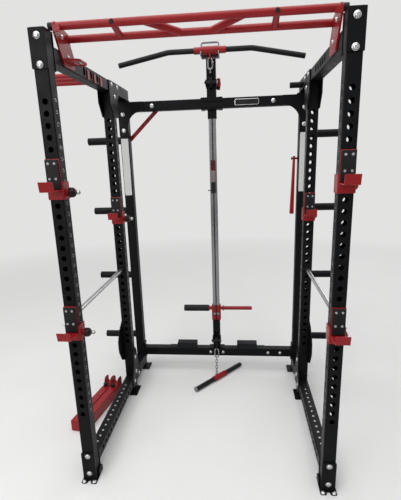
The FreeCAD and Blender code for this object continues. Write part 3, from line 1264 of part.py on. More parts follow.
def make_lat_bar():
    y = lat - d.bar_y
    bar = rod_shape([
        (point(-d.bar_half, y, bar_z - d.bar_drop), 0), (point(-d.bar_bend_x, y, bar_z), d.bar_bend_radius),
        (point(d.bar_bend_x, y, bar_z), d.bar_bend_radius), (point(d.bar_half, y, bar_z - d.bar_drop), 0)],
        d.bar_radius)
    core = Part.makeCylinder(float(d.bar_core_radius), float(2 * d.bar_core_half),
                             point(-d.bar_core_half, y, bar_z), Vector(1, 0, 0))
    collar = Part.makeCylinder(float(d.bar_collar_radius), float(2 * d.bar_collar_half),
                               point(-d.bar_collar_half, y, bar_z), Vector(1, 0, 0))
    eye_z = bar_z - d.bar_eye_drop
    reach = d.bar_eye_radius + 6
    eye = plate_shape("yz", -4, 8, [
        (y - reach, eye_z - reach, 11), (y + reach, eye_z - reach, 11), (y + reach, bar_z), (y - reach, bar_z)],
        [(y, eye_z, d.bar_eye_radius)])
    node(feature("lat_bar", bar.fuse([core, collar, eye]).removeSplitter()))


def make_bar_holder():
    """Two hooks on a back plate carry the bar, and a strap bows over it."""
    y = lat - d.bar_y
    hook_x = d.bar_core_half + d.hook_gap
    seat = d.bar_collar_radius + d.seat_clearance
    back = plate_shape("xz", lat - d.hook, d.hook, [
        (-hook_x - d.hook, holder_back_bottom, 6), (hook_x + d.hook, holder_back_bottom, 6),
        (hook_x + d.hook, column_height, 6), (-hook_x - d.hook, column_height, 6)])
    pieces = []
    low = bar_z - seat - 14
    for side in (-1, 1):
        start = hook_x if side > 0 else -hook_x - d.hook
        hook = plate_shape("yz", start, d.hook, [
            (y - seat - 9, low + 6, 6), (y - seat + 6, low, 6), (lat - d.hook, low, 4),
            (lat - d.hook, bar_z + 2, 0), (y + seat + 20, bar_z + 2, 0), (y + seat + 20, holder_top - 20, 3),
            (y + seat + 1, holder_top - 20, 3), (y + seat + 1, bar_z, 0), (y, bar_z, 0),
            (y, bar_z - seat / 2, 0), (y - seat - 9, bar_z - seat / 2, 3)])
        notch = Part.makeCylinder(float(seat), float(d.hook), point(start, y, bar_z), Vector(1, 0, 0))
        pieces.append(hook.cut(notch))
    strap_half = hook_x + d.hook
    strap_low = holder_top - 40
    strap = plate_shape("xz", y + seat + 1, 19, [
        (-strap_half, strap_low), (-hook_x, strap_low), (-hook_x, holder_top - d.hook, 10),
        (hook_x, holder_top - d.hook, 10), (hook_x, strap_low), (strap_half, strap_low),
        (strap_half, holder_top, d.holder_corner), (-strap_half, holder_top, d.holder_corner)])
    node(feature("bar_holder", back.fuse(pieces + [strap]).removeSplitter()))


def make_bar_link():
    """Snap hook, ring, end fitting and the cable's tail between the lat bar and the top pulley."""
    y = lat - d.bar_y
    down = Vector(0, 0, -1)
    across = Vector(1, 0, 0)
    top_wire = bar_z - d.bar_eye_drop - (d.bar_eye_radius - d.snap_wire) + d.hook_rest
    snap_centre = point(0, y, top_wire - d.snap_length / 2)
    snap = link_shape(snap_centre, down, across, d.snap_length, d.snap_width, d.snap_wire)
    step = d.snap_length / 2 + d.ring_length / 2 - d.snap_wire - d.ring_wire - d.link_gap
    ring_centre = snap_centre + down * float(step)
    ring = link_shape(ring_centre, down, Vector(0, 1, 0), d.ring_length, d.ring_width, d.ring_wire)
    corner, target, way = tail_run()
    fitting = Part.makeCylinder(float(d.end_fitting_radius) - 1.5, float(d.tail_fitting + 2),
                                target - way * float(d.tail_fitting), way)
    node(group("bar_link", [
        feature("snap_hook", snap), feature("swivel_ring", ring.fuse(fitting).removeSplitter())]))


def make_low_link(start, ahead):
    """Snap hook and chain from the cable's low ring down to the loose bar's eye: start is the ring's end."""
    across = Vector(1, 0, 0)
    level = ahead.cross(across).normalize()
    hook_start = start - ahead * float(d.ring_wire + d.snap_wire + d.link_gap)
    hook_centre = hook_start + ahead * float(d.snap_length / 2)
    links = [link_shape(hook_centre, ahead, across, d.snap_length, d.snap_width, d.snap_wire)]
    chain_start = hook_start + ahead * float(d.snap_length - d.snap_wire - d.chain_wire - d.link_gap)
    run = (chain_start.z - float(d.low_core_radius)) / -ahead.z
    count = int(float(d.chain_count))
    overlap = float(2 * d.chain_wire + d.link_gap)
    length = (run + (count - 1) * overlap) / count
    last_side = link_side(ahead)
    turn = math.degrees(math.atan2(level.cross(last_side).dot(ahead), level.dot(last_side)))
    spare = (turn - (count - 1) * 90 + 90) % 180 - 90
    step = 90 + spare / (count - 1)
    for number in range(count):
        centre = chain_start + ahead * (length / 2 + number * (length - overlap))
        side = Rotation(ahead, number * step).multVec(level)
        links.append(link_shape(centre, ahead, side, length, d.chain_width, d.chain_wire))
    node(group("low_link", [feature(f"low_link_{number}", shape) for number, shape in enumerate(links)]))
    return chain_start + ahead * run


def low_bar_way():
    angle = math.radians(float(d.low_bar_angle))
    return Vector(math.cos(angle), math.sin(angle), 0)


def link_side(ahead):
    """The loose bar's direction, laid square to the chain's run."""
    bar_way = low_bar_way()
    return (bar_way - ahead * bar_way.dot(ahead)).normalize()


def make_low_bar(chain_end, ahead):
    """The low-row bar lies on the floor, with its eye on the chain's last link."""
    way = low_bar_way()
    side = Vector(way.y, -way.x, 0)
    reach = float(d.low_core_radius + d.low_eye_radius) - 1
    middle = Vector(chain_end.x, chain_end.y, float(d.low_core_radius)) + side * reach
    half = float(d.low_bar_half)
    core_half = float(d.low_core_half)
    bar = Part.makeCylinder(float(d.low_bar_radius), 2 * half, middle - way * half, way)
    core = Part.makeCylinder(float(d.low_core_radius), 2 * core_half, middle - way * core_half, way)
    ring_centre = middle - side * reach
    ring = Part.makeTorus(float(d.low_eye_radius), float(d.low_eye_wire), ring_centre, link_side(ahead))
    cap = Part.makeCylinder(float(d.low_bar_radius) + 1, 8, middle - way * (half + 8), way)
    node(feature("low_bar", bar.fuse([core, ring, cap]).removeSplitter()))


def make_lever():
    half = d.lever_width / 2
    x = d.lever_x
    y = lat + d.tube - 16 + d.plate + d.lever_gap
    outline = [
        (x - half, lever_z - half, half - 0.1), (x + half, lever_z - half, 7), (x + half + 6, lever_z + 24, 12),
        (x + half + 2, lever_z + d.lever_length, 8), (x - half + 4, lever_z + d.lever_length, 5)]
    shape = plate_shape("xz", y, d.lever_thickness, outline,
                        [(x, lever_z, d.lever_pin_radius + d.lever_fit)])
    node(feature("latch_lever", shape))


# ---------------------------------------------------------------------------------------------------------------
# loose spotter arms on the floor beside the left rail


def make_spotter_arms():
    turn = FreeCAD.Rotation(Vector(0, 0, 1), -float(d.arm_angle))
    hinge = point(-outer_x - d.arm_stand_off, front + d.arm_start, 0)
    for number, name in enumerate(("inner", "outer")):
        near = -outer_x - d.arm_stand_off - number * (d.arm_width + d.arm_gap)
        start = front + d.arm_start
        tube = steel_tube(f"spotter_arm_{name}_tube", d.arm_length,
                          (near - d.arm_width / 2, start, d.arm_tall / 2), "y", (), d.arm_width, d.arm_tall)
        end = start + d.arm_length
        pieces = [tube]
        for end_name, plug_start in (("front", start), ("back", end - d.arm_plug)):
            pieces.append(box(f"spotter_{name}_{end_name}_plug",
                              (d.arm_width - d.tube_wall, d.arm_plug, d.arm_tall - d.tube_wall),
                              (near - d.arm_width + d.tube_wall / 2, plug_start, d.tube_wall / 2)))
        for side in (0, 1):
            x = near - d.arm_width + side * (d.arm_width - d.plate)
            shape = plate_shape("yz", x, d.plate, [
                (end - d.arm_bracket_length, d.arm_tall - 2), (end, d.arm_tall - 2),
                (end, d.arm_bracket_height, 10), (end - d.arm_bracket_length + 18, d.arm_bracket_height, 16)])
            pieces.append(feature(f"spotter_{name}_ear{side}", shape))
        knob_y = end - d.arm_bracket_length - d.arm_knob_radius - 6
        pieces.append(cylinder(f"spotter_{name}_knob", d.arm_knob_radius, d.arm_knob_height,
                               (near - d.arm_width / 2, knob_y, d.arm_tall)))
        arm = fuse(f"spotter_arm_{name}", *pieces)
        arm.Placement = FreeCAD.Placement(Vector(0, 0, 0), turn, hinge)
        node(arm)


# ---------------------------------------------------------------------------------------------------------------
# build


def build():
    make_front_uprights()
    make_rear_uprights()
    make_lat_posts()
    make_beams_and_rails()
    make_rear_ties()
    make_front_top_plates()
    make_feet()
    make_joint_plates()
    make_top_crossmember()
    make_bottom_crossmember()
    make_corner_brace()
    make_pullup_bar()
    make_storage()
    make_safety_rods()
    make_cups()
    make_column()
    make_lower_column()
    pulley("top_pulley", pulley_y, pulley_z, d.pulley_radius, d.pulley_run, d.tube)
    pulley("low_pulley", low_pulley_y, d.low_pulley_z, d.low_pulley_radius, d.low_pulley_run,
           d.lower_column_width)
    low_end, ahead = make_cable()
    make_coupler()
    make_carriage()
    make_lat_bar()
    make_bar_holder()
    make_bar_link()
    make_low_bar(make_low_link(low_end, ahead), ahead)
    make_lever()
    make_spotter_arms()
    node(feature("bolts", Part.makeCompound(bolts)))
    document.recompute()


def write_nodes():
    """Checks every object, then writes each sub-part to its own file."""
    for item in document.Objects:
        if "Invalid" in item.State or "Error" in item.State:
            raise RuntimeError(f"{item.Name} failed: {item.State}")
    for item in nodes:
        if item.Shape.isNull() or not item.Shape.isValid():
            raise RuntimeError(f"{item.Label} has no valid shape")
    os.makedirs("parts", exist_ok=True)
    for item in nodes:
        item.Shape.exportStep(f"parts/{item.Label}.step")
        print(item.Label, len(item.Shape.Solids), round(item.Shape.Volume))
    print(len(nodes), "sub-parts")


build()
write_nodes()
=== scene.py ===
"""Looks of a power cage: coated steel, fasteners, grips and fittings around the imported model."""

import json
import math
from functools import cache

import bmesh
import bpy
import numpy as np
from mathutils import Matrix, Quaternion, Vector


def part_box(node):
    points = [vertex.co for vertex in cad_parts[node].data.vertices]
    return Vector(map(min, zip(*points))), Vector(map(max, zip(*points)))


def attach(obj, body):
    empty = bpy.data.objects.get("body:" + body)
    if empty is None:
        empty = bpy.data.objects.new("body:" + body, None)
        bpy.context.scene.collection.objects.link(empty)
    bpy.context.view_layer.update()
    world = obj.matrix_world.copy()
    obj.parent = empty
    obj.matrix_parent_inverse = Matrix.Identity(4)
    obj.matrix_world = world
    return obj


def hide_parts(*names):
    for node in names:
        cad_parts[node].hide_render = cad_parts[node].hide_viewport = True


bl_info = {
    "name": "Power cage",
    "version": (1, 0, 0),
    "blender": (4, 5, 0),
    "location": "View3D > Sidebar > Power cage",
    "description": "Builds the looks of a power cage around its packed model",
    "category": "Add Mesh",
}

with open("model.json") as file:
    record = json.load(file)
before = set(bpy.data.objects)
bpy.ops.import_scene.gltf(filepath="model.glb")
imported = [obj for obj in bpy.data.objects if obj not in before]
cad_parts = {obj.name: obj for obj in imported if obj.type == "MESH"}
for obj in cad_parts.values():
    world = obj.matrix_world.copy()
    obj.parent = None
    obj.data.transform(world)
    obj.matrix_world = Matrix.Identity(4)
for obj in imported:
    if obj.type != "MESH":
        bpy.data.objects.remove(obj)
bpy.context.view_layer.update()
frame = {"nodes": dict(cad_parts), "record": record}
SLOT_OF = {part["node"]: part["material_slot"] for part in frame["record"]["subparts"]}
BODY_OF = {node: body for body, members in frame["record"]["behaviour"]["bodies"].items() for node in members}
X_WAY, Y_WAY, Z_WAY = Vector((1, 0, 0)), Vector((0, 1, 0)), Vector((0, 0, 1))
SIDES = (-1, 1)
UNSCALED = (1, 1, 1)

# Metres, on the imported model
TUBE = 0.06  # the square tubes
PLATE = 0.0065  # from a welded plate's outer face to the seam on its inner one
RAIL_LEVEL, BEAM_LEVEL = 0.091, 1.97  # the middles of the base rails and of the top side beams
RAIL_SIDE, POST_SIDE = 0.585, 0.586  # from the middle of the cage to a base rail's and a lat post's


def spot(node, x=0, y=0, z=0):
    """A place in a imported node's box: 0 is the middle, -1 and 1 are its low and high side."""
    low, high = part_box(node)
    return Vector([(a + b + share * (b - a)) / 2 for a, b, share in zip(low, high, (x, y, z))])


def span(node):
    """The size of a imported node's box."""
    low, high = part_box(node)
    return high - low


# ----- settings -----


def length(name, description, default):
    return bpy.props.FloatProperty(
        name=name, description=description, default=default, min=0, precision=5, subtype="DISTANCE",
        unit="LENGTH")


def count(name, description, default):
    return bpy.props.IntProperty(name=name, description=description, default=default, min=1)


def power(name, description, default):
    return bpy.props.FloatProperty(
        name=name, description=description, default=default, subtype="POWER", unit="POWER")


def colour(name, description, default):
    return bpy.props.FloatVectorProperty(
        name=name, description=description, default=default, size=3, min=0, max=1, subtype="COLOR")


class CageColours(bpy.types.PropertyGroup):
    """Colours of the cage's finishes."""

    black_coat: colour("Black coat", "Powder coat of the frame", (0.0035, 0.0038, 0.0046))
    red_coat: colour("Red coat", "Powder coat of the grips, cups and arms", (0.25, 0.0065, 0.0095))
    zinc: colour("Zinc", "Plating of bolts, nuts and eyelets", (0.5, 0.5, 0.5))
    chrome: colour("Chrome", "Plating of the rods and pins", (0.42, 0.42, 0.43))
    steel: colour("Steel", "Guide rail, hooks, chain and bar holder", (0.24, 0.24, 0.25))
    badge: colour("Badge", "Metal of the nameplate", (0.5, 0.5, 0.51))
    rubber: colour("Rubber", "Foot blocks", (0.007, 0.008, 0.0095))
    plastic: colour("Plastic", "Caps, knobs and liners", (0.009, 0.0095, 0.0105))
    knob: colour("Knob", "Dome knobs of the cup pins", (0.016, 0.0035, 0.0045))
    rivet: colour("Rivet", "Buttons of the cup liners", (0.34, 0.35, 0.36))
    cable: colour("Cable", "Coating of the cable", (0.006, 0.006, 0.007))
    nylon: colour("Nylon", "Pulley wheels", (0.012, 0.0125, 0.0135))
    coupler_grey: colour("Coupler grey", "Middle of the cable coupler", (0.2, 0.155, 0.155))
    coupler_red: colour("Coupler red", "Top of the cable coupler", (0.075, 0.008, 0.011))
    label: colour("Label", "Blank labels on the rear posts", (0.6, 0.6, 0.59))
    floor: colour("Floor", "Studio floor", (0.78, 0.78, 0.775))
    backdrop: colour("Backdrop", "What the camera sees behind the floor", (0.76, 0.76, 0.755))


class CageSizes(bpy.types.PropertyGroup):
    """Sizes of the surface details."""

    edge_round: length("Edge rounding", "Width of the rounded edges of coated steel", 0.0009)
    soft_round: length("Soft rounding", "Width of the rounded edges of bars, rail and arms", 0.0012)
    bead: length("Weld bead", "Radius of the weld beads", 0.0022)
    bead_pitch: length("Weld pitch", "Distance between two weld ripples", 0.0022)
    hole_pitch: length("Hole pitch", "Distance between two holes of a row", 0.0455)
    side_hole_first: length("First side hole", "Height of the lowest side hole", 0.3865)
    side_hole_radius: length("Side hole", "Radius of the side holes", 0.0055)
    side_hole_count: count("Side holes", "Holes in a row", 32)
    rail_hole_first: length("First rail hole", "From the front of the cage to a base rail's first hole", 0.133)
    rail_hole_count: count("Rail holes", "Holes in a base rail", 13)
    eyelet_rim: length("Eyelet rim", "Width of the eyelet around a side hole", 0.0017)
    rivet_radius: length("Rivet", "Radius of the buttons on a cup liner", 0.0053)
    cap_height: length("Cap height", "How far a tube cap stands proud", 0.003)


class StageSettings(bpy.types.PropertyGroup):
    """Camera and light of the studio."""

    lens: bpy.props.FloatProperty(
        name="Lens", description="Focal length", default=35.74, subtype="DISTANCE_CAMERA")
    eye: bpy.props.FloatVectorProperty(
        name="Eye", description="Place of the camera", subtype="TRANSLATION", unit="LENGTH",
        default=(0.16999, -2.1605, 1.54928), precision=5)
    aim: bpy.props.FloatVectorProperty(
        name="Aim", description="Yaw, downward pitch and roll of the camera", subtype="EULER", unit="ROTATION",
        default=(-0.1003, 0.2575, 0.0315))
    shift: bpy.props.FloatProperty(name="Shift", description="Upward shift of the lens", default=0.0367)
    ambient: bpy.props.FloatProperty(name="Ambient", description="Strength of the even light", default=0.42)
    key: power("Key", "Power of the overhead soft box", 235)
    fill: power("Fill", "Power of the front soft box", 60)


def colours():
    return bpy.context.scene.cage_colours


def sizes():
    return bpy.context.scene.cage_sizes


# ----- finishes -----

DUST = (0.5, 0.48, 0.45)


def put(tree, value, socket):
    """Links a socket to another, or sets it; a colour gets its alpha."""
    if isinstance(value, bpy.types.NodeSocket):
        tree.links.new(value, socket)
    else:
        socket.default_value = (*value, 1) if socket.type == "RGBA" else value


def add_node(tree, kind, settings=(), *values, **inputs):
    """A node with its settings, its first inputs in order and others by name."""
    made = tree.nodes.new(kind)
    for name, value in dict(settings).items():
        setattr(made, name, value)
    for key, value in (*enumerate(values), *inputs.items()):
        put(tree, value, made.inputs[key.replace("_", " ") if isinstance(key, str) else key])
    return made


class Finish:
    """A material whose colour, gloss and relief come from patterns on the piece's own coordinates."""

    def __init__(self, name, metallic=0.0, specular=0.5):
        self.material = bpy.data.materials.new(name)
        self.material.use_nodes = True
        self.tree = self.material.node_tree
        self.tree.nodes.clear()
        self.shader = self.node("ShaderNodeBsdfPrincipled", Metallic=metallic, Specular_IOR_Level=specular)
        self.output = self.node("ShaderNodeOutputMaterial", Surface=self.shader.outputs["BSDF"])
        self.place = self.node("ShaderNodeTexCoord").outputs["Object"]

    def node(self, kind, settings=(), *values, **inputs):
        return add_node(self.tree, kind, settings, *values, **inputs)

    def link(self, socket, name):
        self.tree.links.new(socket, self.shader.inputs[name])

    def stretched(self, scale):
        return self.node("ShaderNodeMapping", Vector=self.place, Scale=scale).outputs["Vector"]

    def noise(self, scale, detail=3.0, roughness=0.5, where=None):
        made = self.node(
            "ShaderNodeTexNoise", Vector=where or self.place, Scale=scale, Detail=detail, Roughness=roughness)
        return made.outputs["Fac"]

    def spread(self, value, low, high, from_low=0.3, from_high=0.7):
        made = self.node(
            "ShaderNodeMapRange", Value=value, From_Min=from_low, From_Max=from_high, To_Min=low, To_Max=high)
        return made.outputs["Result"]

    def mix(self, factor, first, second):
        made = self.node("ShaderNodeMix", {"data_type": "RGBA"}, factor)
        for number, value in ((6, first), (7, second)):  # the colour sockets A and B
            put(self.tree, value, made.inputs[number])
        return made.outputs[2]

    def paint(self, base, depth, scale, dust=0.0):
        """Base colour with broad and fine variation and, where asked, faint settled dust."""
        dark, light = ([min(1, value * (1 + change)) for value in base] for change in (-depth, depth))
        shade = self.mix(self.spread(self.noise(scale, 4.0), 0, 1), dark, light)
        grain = self.mix(self.spread(self.noise(scale * 90, 2.0), 0, 0.5), shade, light)
        if dust:
            settled = self.spread(self.noise(scale * 2.3, 6.0, 0.65), 0, dust, 0.52, 0.8)
            grain = self.mix(settled, grain, DUST)
        self.link(grain, "Base Color")

    def gloss(self, low, high, scale):
        self.link(self.spread(self.noise(scale, 5.0, 0.6), low, high), "Roughness")

    def skin(self, *layers):
        """Bump layers, coarse first: (height, distance)."""
        under = {}
        for height, distance in layers:
            bump = self.node("ShaderNodeBump", Height=height, Distance=distance, Strength=1.0, **under)
            under = {"Normal": bump.outputs["Normal"]}
        self.link(under["Normal"], "Normal")
        return self.material


def powder_coat(name, base, dust=0.005, specular=0.1, low=0.34, high=0.5):
    """Satin powder coat: orange peel, faint handling marks and settled dust."""
    made = Finish(name, specular=specular)
    made.paint(base, 0.1, 7.0, dust)
    made.gloss(low, high, 18.0)
    marks, peel = made.noise(60.0, 8.0, 0.75), made.noise(520.0, 2.0, 0.5)
    return made.skin((marks, 0.00012), (peel, 0.00022))


def plated(name, base, low, high, brush=(1.0, 1.0, 1.0), brush_depth=0.00001):
    """Bright plating with drawn lines along one way and cloudy gloss."""
    made = Finish(name, metallic=1.0)
    made.paint(base, 0.07, 16.0)
    made.gloss(low, high, 30.0)
    drawn = made.noise(900.0, 3.0, 0.6, made.stretched(brush))
    return made.skin((made.noise(25.0, 2.0), 0.00005), (drawn, brush_depth))


def moulded(name, base, low=0.45, high=0.62, grain=1400.0, depth=0.00009, variation=0.12):
    """Moulded plastic, nylon or rubber with a fine matt grain."""
    made = Finish(name, specular=0.18)
    made.paint(base, variation, 12.0, 0.008)
    made.gloss(low, high, 25.0)
    cells = made.node("ShaderNodeTexVoronoi", {"feature": "SMOOTH_F1"}, Vector=made.place, Scale=grain)
    return made.skin((made.noise(80.0, 4.0), 0.0001), (cells.outputs["Distance"], depth))


def knurled(name, base):
    """Coated grip with a crossed knurl along and round it."""
    made = Finish(name, specular=0.18)
    made.paint(base, 0.12, 11.0, 0.008)
    made.gloss(0.4, 0.55, 30.0)
    style = {"wave_type": "BANDS", "bands_direction": "DIAGONAL"}
    waves = [made.node("ShaderNodeTexWave", style, Vector=made.stretched((420.0, lean, lean)), Scale=0.5)
             for lean in (420.0, -420.0)]
    crossed = made.node("ShaderNodeMath", {"operation": "MULTIPLY"}, *(wave.outputs["Fac"] for wave in waves))
    return made.skin((made.noise(90.0, 4.0), 0.0001), (crossed.outputs["Value"], 0.00025))


ALONG_X, ALONG_Y, ALONG_Z = (0.02, 1.0, 1.0), (1.0, 0.03, 1.0), (1.0, 1.0, 0.04)  # ways of the drawn lines
FINISHES = {  # the maker, the material's name, its colour, then the maker's own numbers
    "black_frame": (powder_coat, "black_powder_coat", "black_coat"),
    "red_frame": (powder_coat, "red_powder_coat", "red_coat", 0.006, 0.26, 0.26, 0.38),
    "zinc_bolts": (plated, "bright_zinc", "zinc", 0.2, 0.34),
    "chrome": (plated, "polished_plating", "chrome", 0.12, 0.24, ALONG_Z),
    "rod": (plated, "drawn_rod_plating", "chrome", 0.24, 0.34, ALONG_Y, 0.000002),
    "steel": (plated, "dark_plated_steel", "steel", 0.16, 0.3, ALONG_Z),
    "badge": (plated, "satin_badge_metal", "badge", 0.25, 0.4, ALONG_X),
    "knob": (moulded, "dome_knob_plastic", "knob", 0.3, 0.42),
    "black_rubber": (moulded, "black_block_rubber", "rubber", 0.55, 0.75, 900.0, 0.00016),
    "black_plastic": (moulded, "black_moulded_plastic", "plastic"),
    "black_cable": (moulded, "black_cable_coat", "cable", 0.3, 0.42, 1800.0, 0.00004),
    "grey_nylon": (moulded, "grey_nylon", "nylon", 0.38, 0.55, 1500.0, 0.00006),
    "black_grip": (knurled, "black_grip_coat", "black_coat"),
    "rivet": (moulded, "grey_liner_button", "rivet", 0.4, 0.5),
    "coupler_grey": (moulded, "coupler_grey_plastic", "coupler_grey"),
    "coupler_red": (moulded, "coupler_red_plastic", "coupler_red"),
    "label": (moulded, "blank_label_film", "label", 0.35, 0.5, 2200.0, 0.00002, 0.02),
}


@cache
def finish(name):
    """The material of that name, made on first use."""
    maker, title, tint, *numbers = FINISHES[name]
    return maker(title, getattr(colours(), tint), *numbers)


# ----- meshes -----

DOUBLES = 3e-6  # vertices nearer than this are one
FLAT, SHARP, EDGE = math.radians(0.4), math.radians(38), math.radians(40)


def new_piece(name, shape, *finishes):
    """A finished mesh from a bmesh, smooth apart from its sharp edges."""
    mesh = bpy.data.meshes.new(name)
    shape.to_mesh(mesh)
    shape.free()
    for look in finishes:
        mesh.materials.append(finish(look))
    mesh.polygons.foreach_set("use_smooth", [True] * len(mesh.polygons))
    mesh.set_sharp_from_angle(angle=SHARP)
    piece = bpy.data.objects.new(name, mesh)
    bpy.context.scene.collection.objects.link(piece)
    return piece


def baked(piece):
    """Puts the result of a piece's modifiers in its mesh and removes them."""
    bpy.context.view_layer.update()
    graph = bpy.context.evaluated_depsgraph_get()
    old, mesh = piece.data, bpy.data.meshes.new_from_object(
        piece.evaluated_get(graph), preserve_all_data_layers=True, depsgraph=graph)
    piece.modifiers.clear()
    piece.data = mesh
    bpy.data.meshes.remove(old)
    mesh.name = piece.name
    return piece


def drop(piece):
    mesh = piece.data
    bpy.data.objects.remove(piece)
    bpy.data.meshes.remove(mesh)


def packed(node):
    """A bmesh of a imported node's loose triangles, closed."""
    shape = bmesh.new()
    shape.from_mesh(frame["nodes"][node].data)
    bmesh.ops.remove_doubles(shape, verts=shape.verts, dist=DOUBLES)
    return shape


def merged(node):
    """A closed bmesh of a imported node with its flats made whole."""
    shape = packed(node)
    bmesh.ops.dissolve_limit(
        shape, angle_limit=FLAT, verts=shape.verts, edges=shape.edges, delimit={"NORMAL"})
    return shape


def islands(node):
    """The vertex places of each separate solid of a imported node."""
    shape = packed(node)
    unseen = set(shape.verts)
    found = []
    while unseen:
        waiting = [unseen.pop()]
        places = []
        while waiting:
            vertex = waiting.pop()
            places.append(vertex.co.copy())
            near = {edge.other_vert(vertex) for edge in vertex.link_edges} & unseen
            unseen -= near
            waiting += near
        found.append(np.array(places))
    shape.free()
    return sorted(found, key=lambda places: tuple(np.round(places.mean(0), 5)))


def round_edges(shape, width):
    """Rounds the sharp edges of a bmesh."""
    edges = [edge for edge in shape.edges if edge.is_manifold and edge.calc_face_angle(0) > EDGE]
    bmesh.ops.bevel(shape, geom=edges, offset=width, offset_type="OFFSET", segments=2, profile=0.5,
                    affect="EDGES", clamp_overlap=False, loop_slide=False)


def cut(shape, at, way):
    """Cuts the faces of a bmesh along a plane."""
    geom = [*shape.verts, *shape.edges, *shape.faces]
    bmesh.ops.bisect_plane(shape, geom=geom, plane_co=at, plane_no=way)


def settle(piece, node, *replaced, slot=None):
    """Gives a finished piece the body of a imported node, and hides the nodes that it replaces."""
    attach(piece, BODY_OF[node])
    if replaced:
        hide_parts(*replaced)
    return piece


def refined(node, *finishes, width=None, shape=None):
    """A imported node's own shape with rounded edges and evenly shaded flats, in place of the node."""
    shape = shape or merged(node)
    width = sizes().edge_round if width is None else width
    if width:
        round_edges(shape, width)
    piece = new_piece(node + "_finish", shape, *(finishes or [SLOT_OF[node]]))
    weighted = piece.modifiers.new("broad_faces", "WEIGHTED_NORMAL")
    weighted.keep_sharp = True
    weighted.weight = 80
    return settle(baked(piece), node, node)


def black_caps(name, shape, node):
    """Plastic caps on the open ends of a node's tubes."""
    settle(new_piece(name, shape, "black_plastic"), node, slot="black_plastic")


def paint_where(piece, test, number):
    """Gives the faces whose centre passes a test another of the piece's materials."""
    for face in piece.data.polygons:
        if test(face.center):
            face.material_index = number


def turned(way, spin=0.0):
    """The turn from the local Z axis to a way, after a spin about it."""
    return Z_WAY.rotation_difference(Vector(way).normalized()) @ Quaternion(Z_WAY, spin)


def turns(steps):
    """Equal turns round a circle."""
    return [2 * math.pi * step / steps for step in range(steps)]


def bridged(shape, rows, ring=False, ends=False, material=0):
    """Faces between rows of vertices, where a row of one closes to a point."""
    faces = []
    for lower, upper in [*zip(rows, rows[1:])] + ([(rows[-1], rows[0])] if ring else []):
        for step in range(max(len(lower), len(upper))):
            corners = [lower[step % len(lower)], lower[(step + 1) % len(lower)],
                       upper[(step + 1) % len(upper)], upper[step % len(upper)]]
            corners = list(dict.fromkeys(corners))
            if len(corners) > 2:
                faces.append(shape.faces.new(corners))
    if ends:
        faces += [shape.faces.new(row) for row in (rows[0], rows[-1]) if len(row) > 2]
    for face in faces:
        face.material_index = material
    bmesh.ops.recalc_face_normals(shape, faces=faces)


def lathe(shape, profile, at=(0, 0, 0), way=Z_WAY, segments=32, material=0, ring=False):
    """Turns (along, radius) pairs about an axis; a radius of 0 closes an end, ring joins the two ends."""
    place = Matrix.Translation(at) @ turned(way).to_matrix().to_4x4()
    rows = [[shape.verts.new(place @ Vector((radius * math.cos(turn), radius * math.sin(turn), along)))
             for turn in (turns(segments) if radius > 1e-7 else [0])] for along, radius in profile]
    bridged(shape, rows, ring, material=material)


def stacked(levels, segments=24):
    """A closed solid from rings of (along, radius, flat); a flat is half the width across a hexagon."""
    shape = bmesh.new()
    rows = []
    for along, radius, flat in levels:
        reaches = [min(radius, flat / math.cos(turn % (math.pi / 3) - math.pi / 6)) if flat else radius
                   for turn in turns(segments)]
        rows.append([shape.verts.new((reach * math.cos(turn), reach * math.sin(turn), along))
                     for reach, turn in zip(reaches, turns(segments))])
    bridged(shape, rows, ends=True)
    return shape


def sweep(shape, path, radius, segments):
    """A round ring along a smooth closed path of points."""
    tangents = [(path[(number + 1) % len(path)] - path[number - 1]).normalized() for number in range(len(path))]
    side = tangents[0].orthogonal().normalized()
    rows = []
    for number, (place, tangent) in enumerate(zip(path, tangents)):
        if number:
            side = tangents[number - 1].rotation_difference(tangent) @ side
            side = (side - tangent * side.dot(tangent)).normalized()
        up = tangent.cross(side)
        rows.append([shape.verts.new(place + (side * math.cos(turn) + up * math.sin(turn)) * radius)
                     for turn in turns(segments)])
    shift = min(range(segments), key=lambda turn: (rows[0][turn].co - rows[-1][0].co).length)
    bridged(shape, rows + [rows[0][shift:] + rows[0][:shift]])


def slab(shape, outline, start, depth):
    """A flat plate from an outline of points, pushed along depth."""
    corners = [shape.verts.new(start + place) for place in outline]
    pushed = bmesh.ops.extrude_face_region(shape, geom=[shape.faces.new(corners)])
    moved = [item for item in pushed["geom"] if isinstance(item, bmesh.types.BMVert)]
    bmesh.ops.translate(shape, verts=moved, vec=depth)
    bmesh.ops.recalc_face_normals(shape, faces=shape.faces)


def rounded_rectangle(width, height, corner, up=Z_WAY, steps=6):
    """The outline of a rectangle with round corners about the origin, X wide."""
    outline = []
    for number, (side, rise) in enumerate(((1, 1), (-1, 1), (-1, -1), (1, -1))):
        centre = X_WAY * side * (width / 2 - corner) + up * rise * (height / 2 - corner)
        for step in range(steps + 1):
            turn = math.pi / 2 * (number + step / steps)
            outline.append(centre + (X_WAY * math.cos(turn) + up * math.sin(turn)) * corner)
    return outline


def oval_path(centre, way, side, long, wide, steps=12):
    """The centre line of a long link: two straights and two half circles."""
    path = []
    for sign in SIDES:
        for step in range(steps + 1):
            turn = math.pi * step / steps
            bend = (side * math.cos(turn) + way * math.sin(turn)) * wide / 2
            path.append(centre + sign * (way * (long - wide) / 2 + bend))
    return path


# ----- repeats made with geometry nodes -----


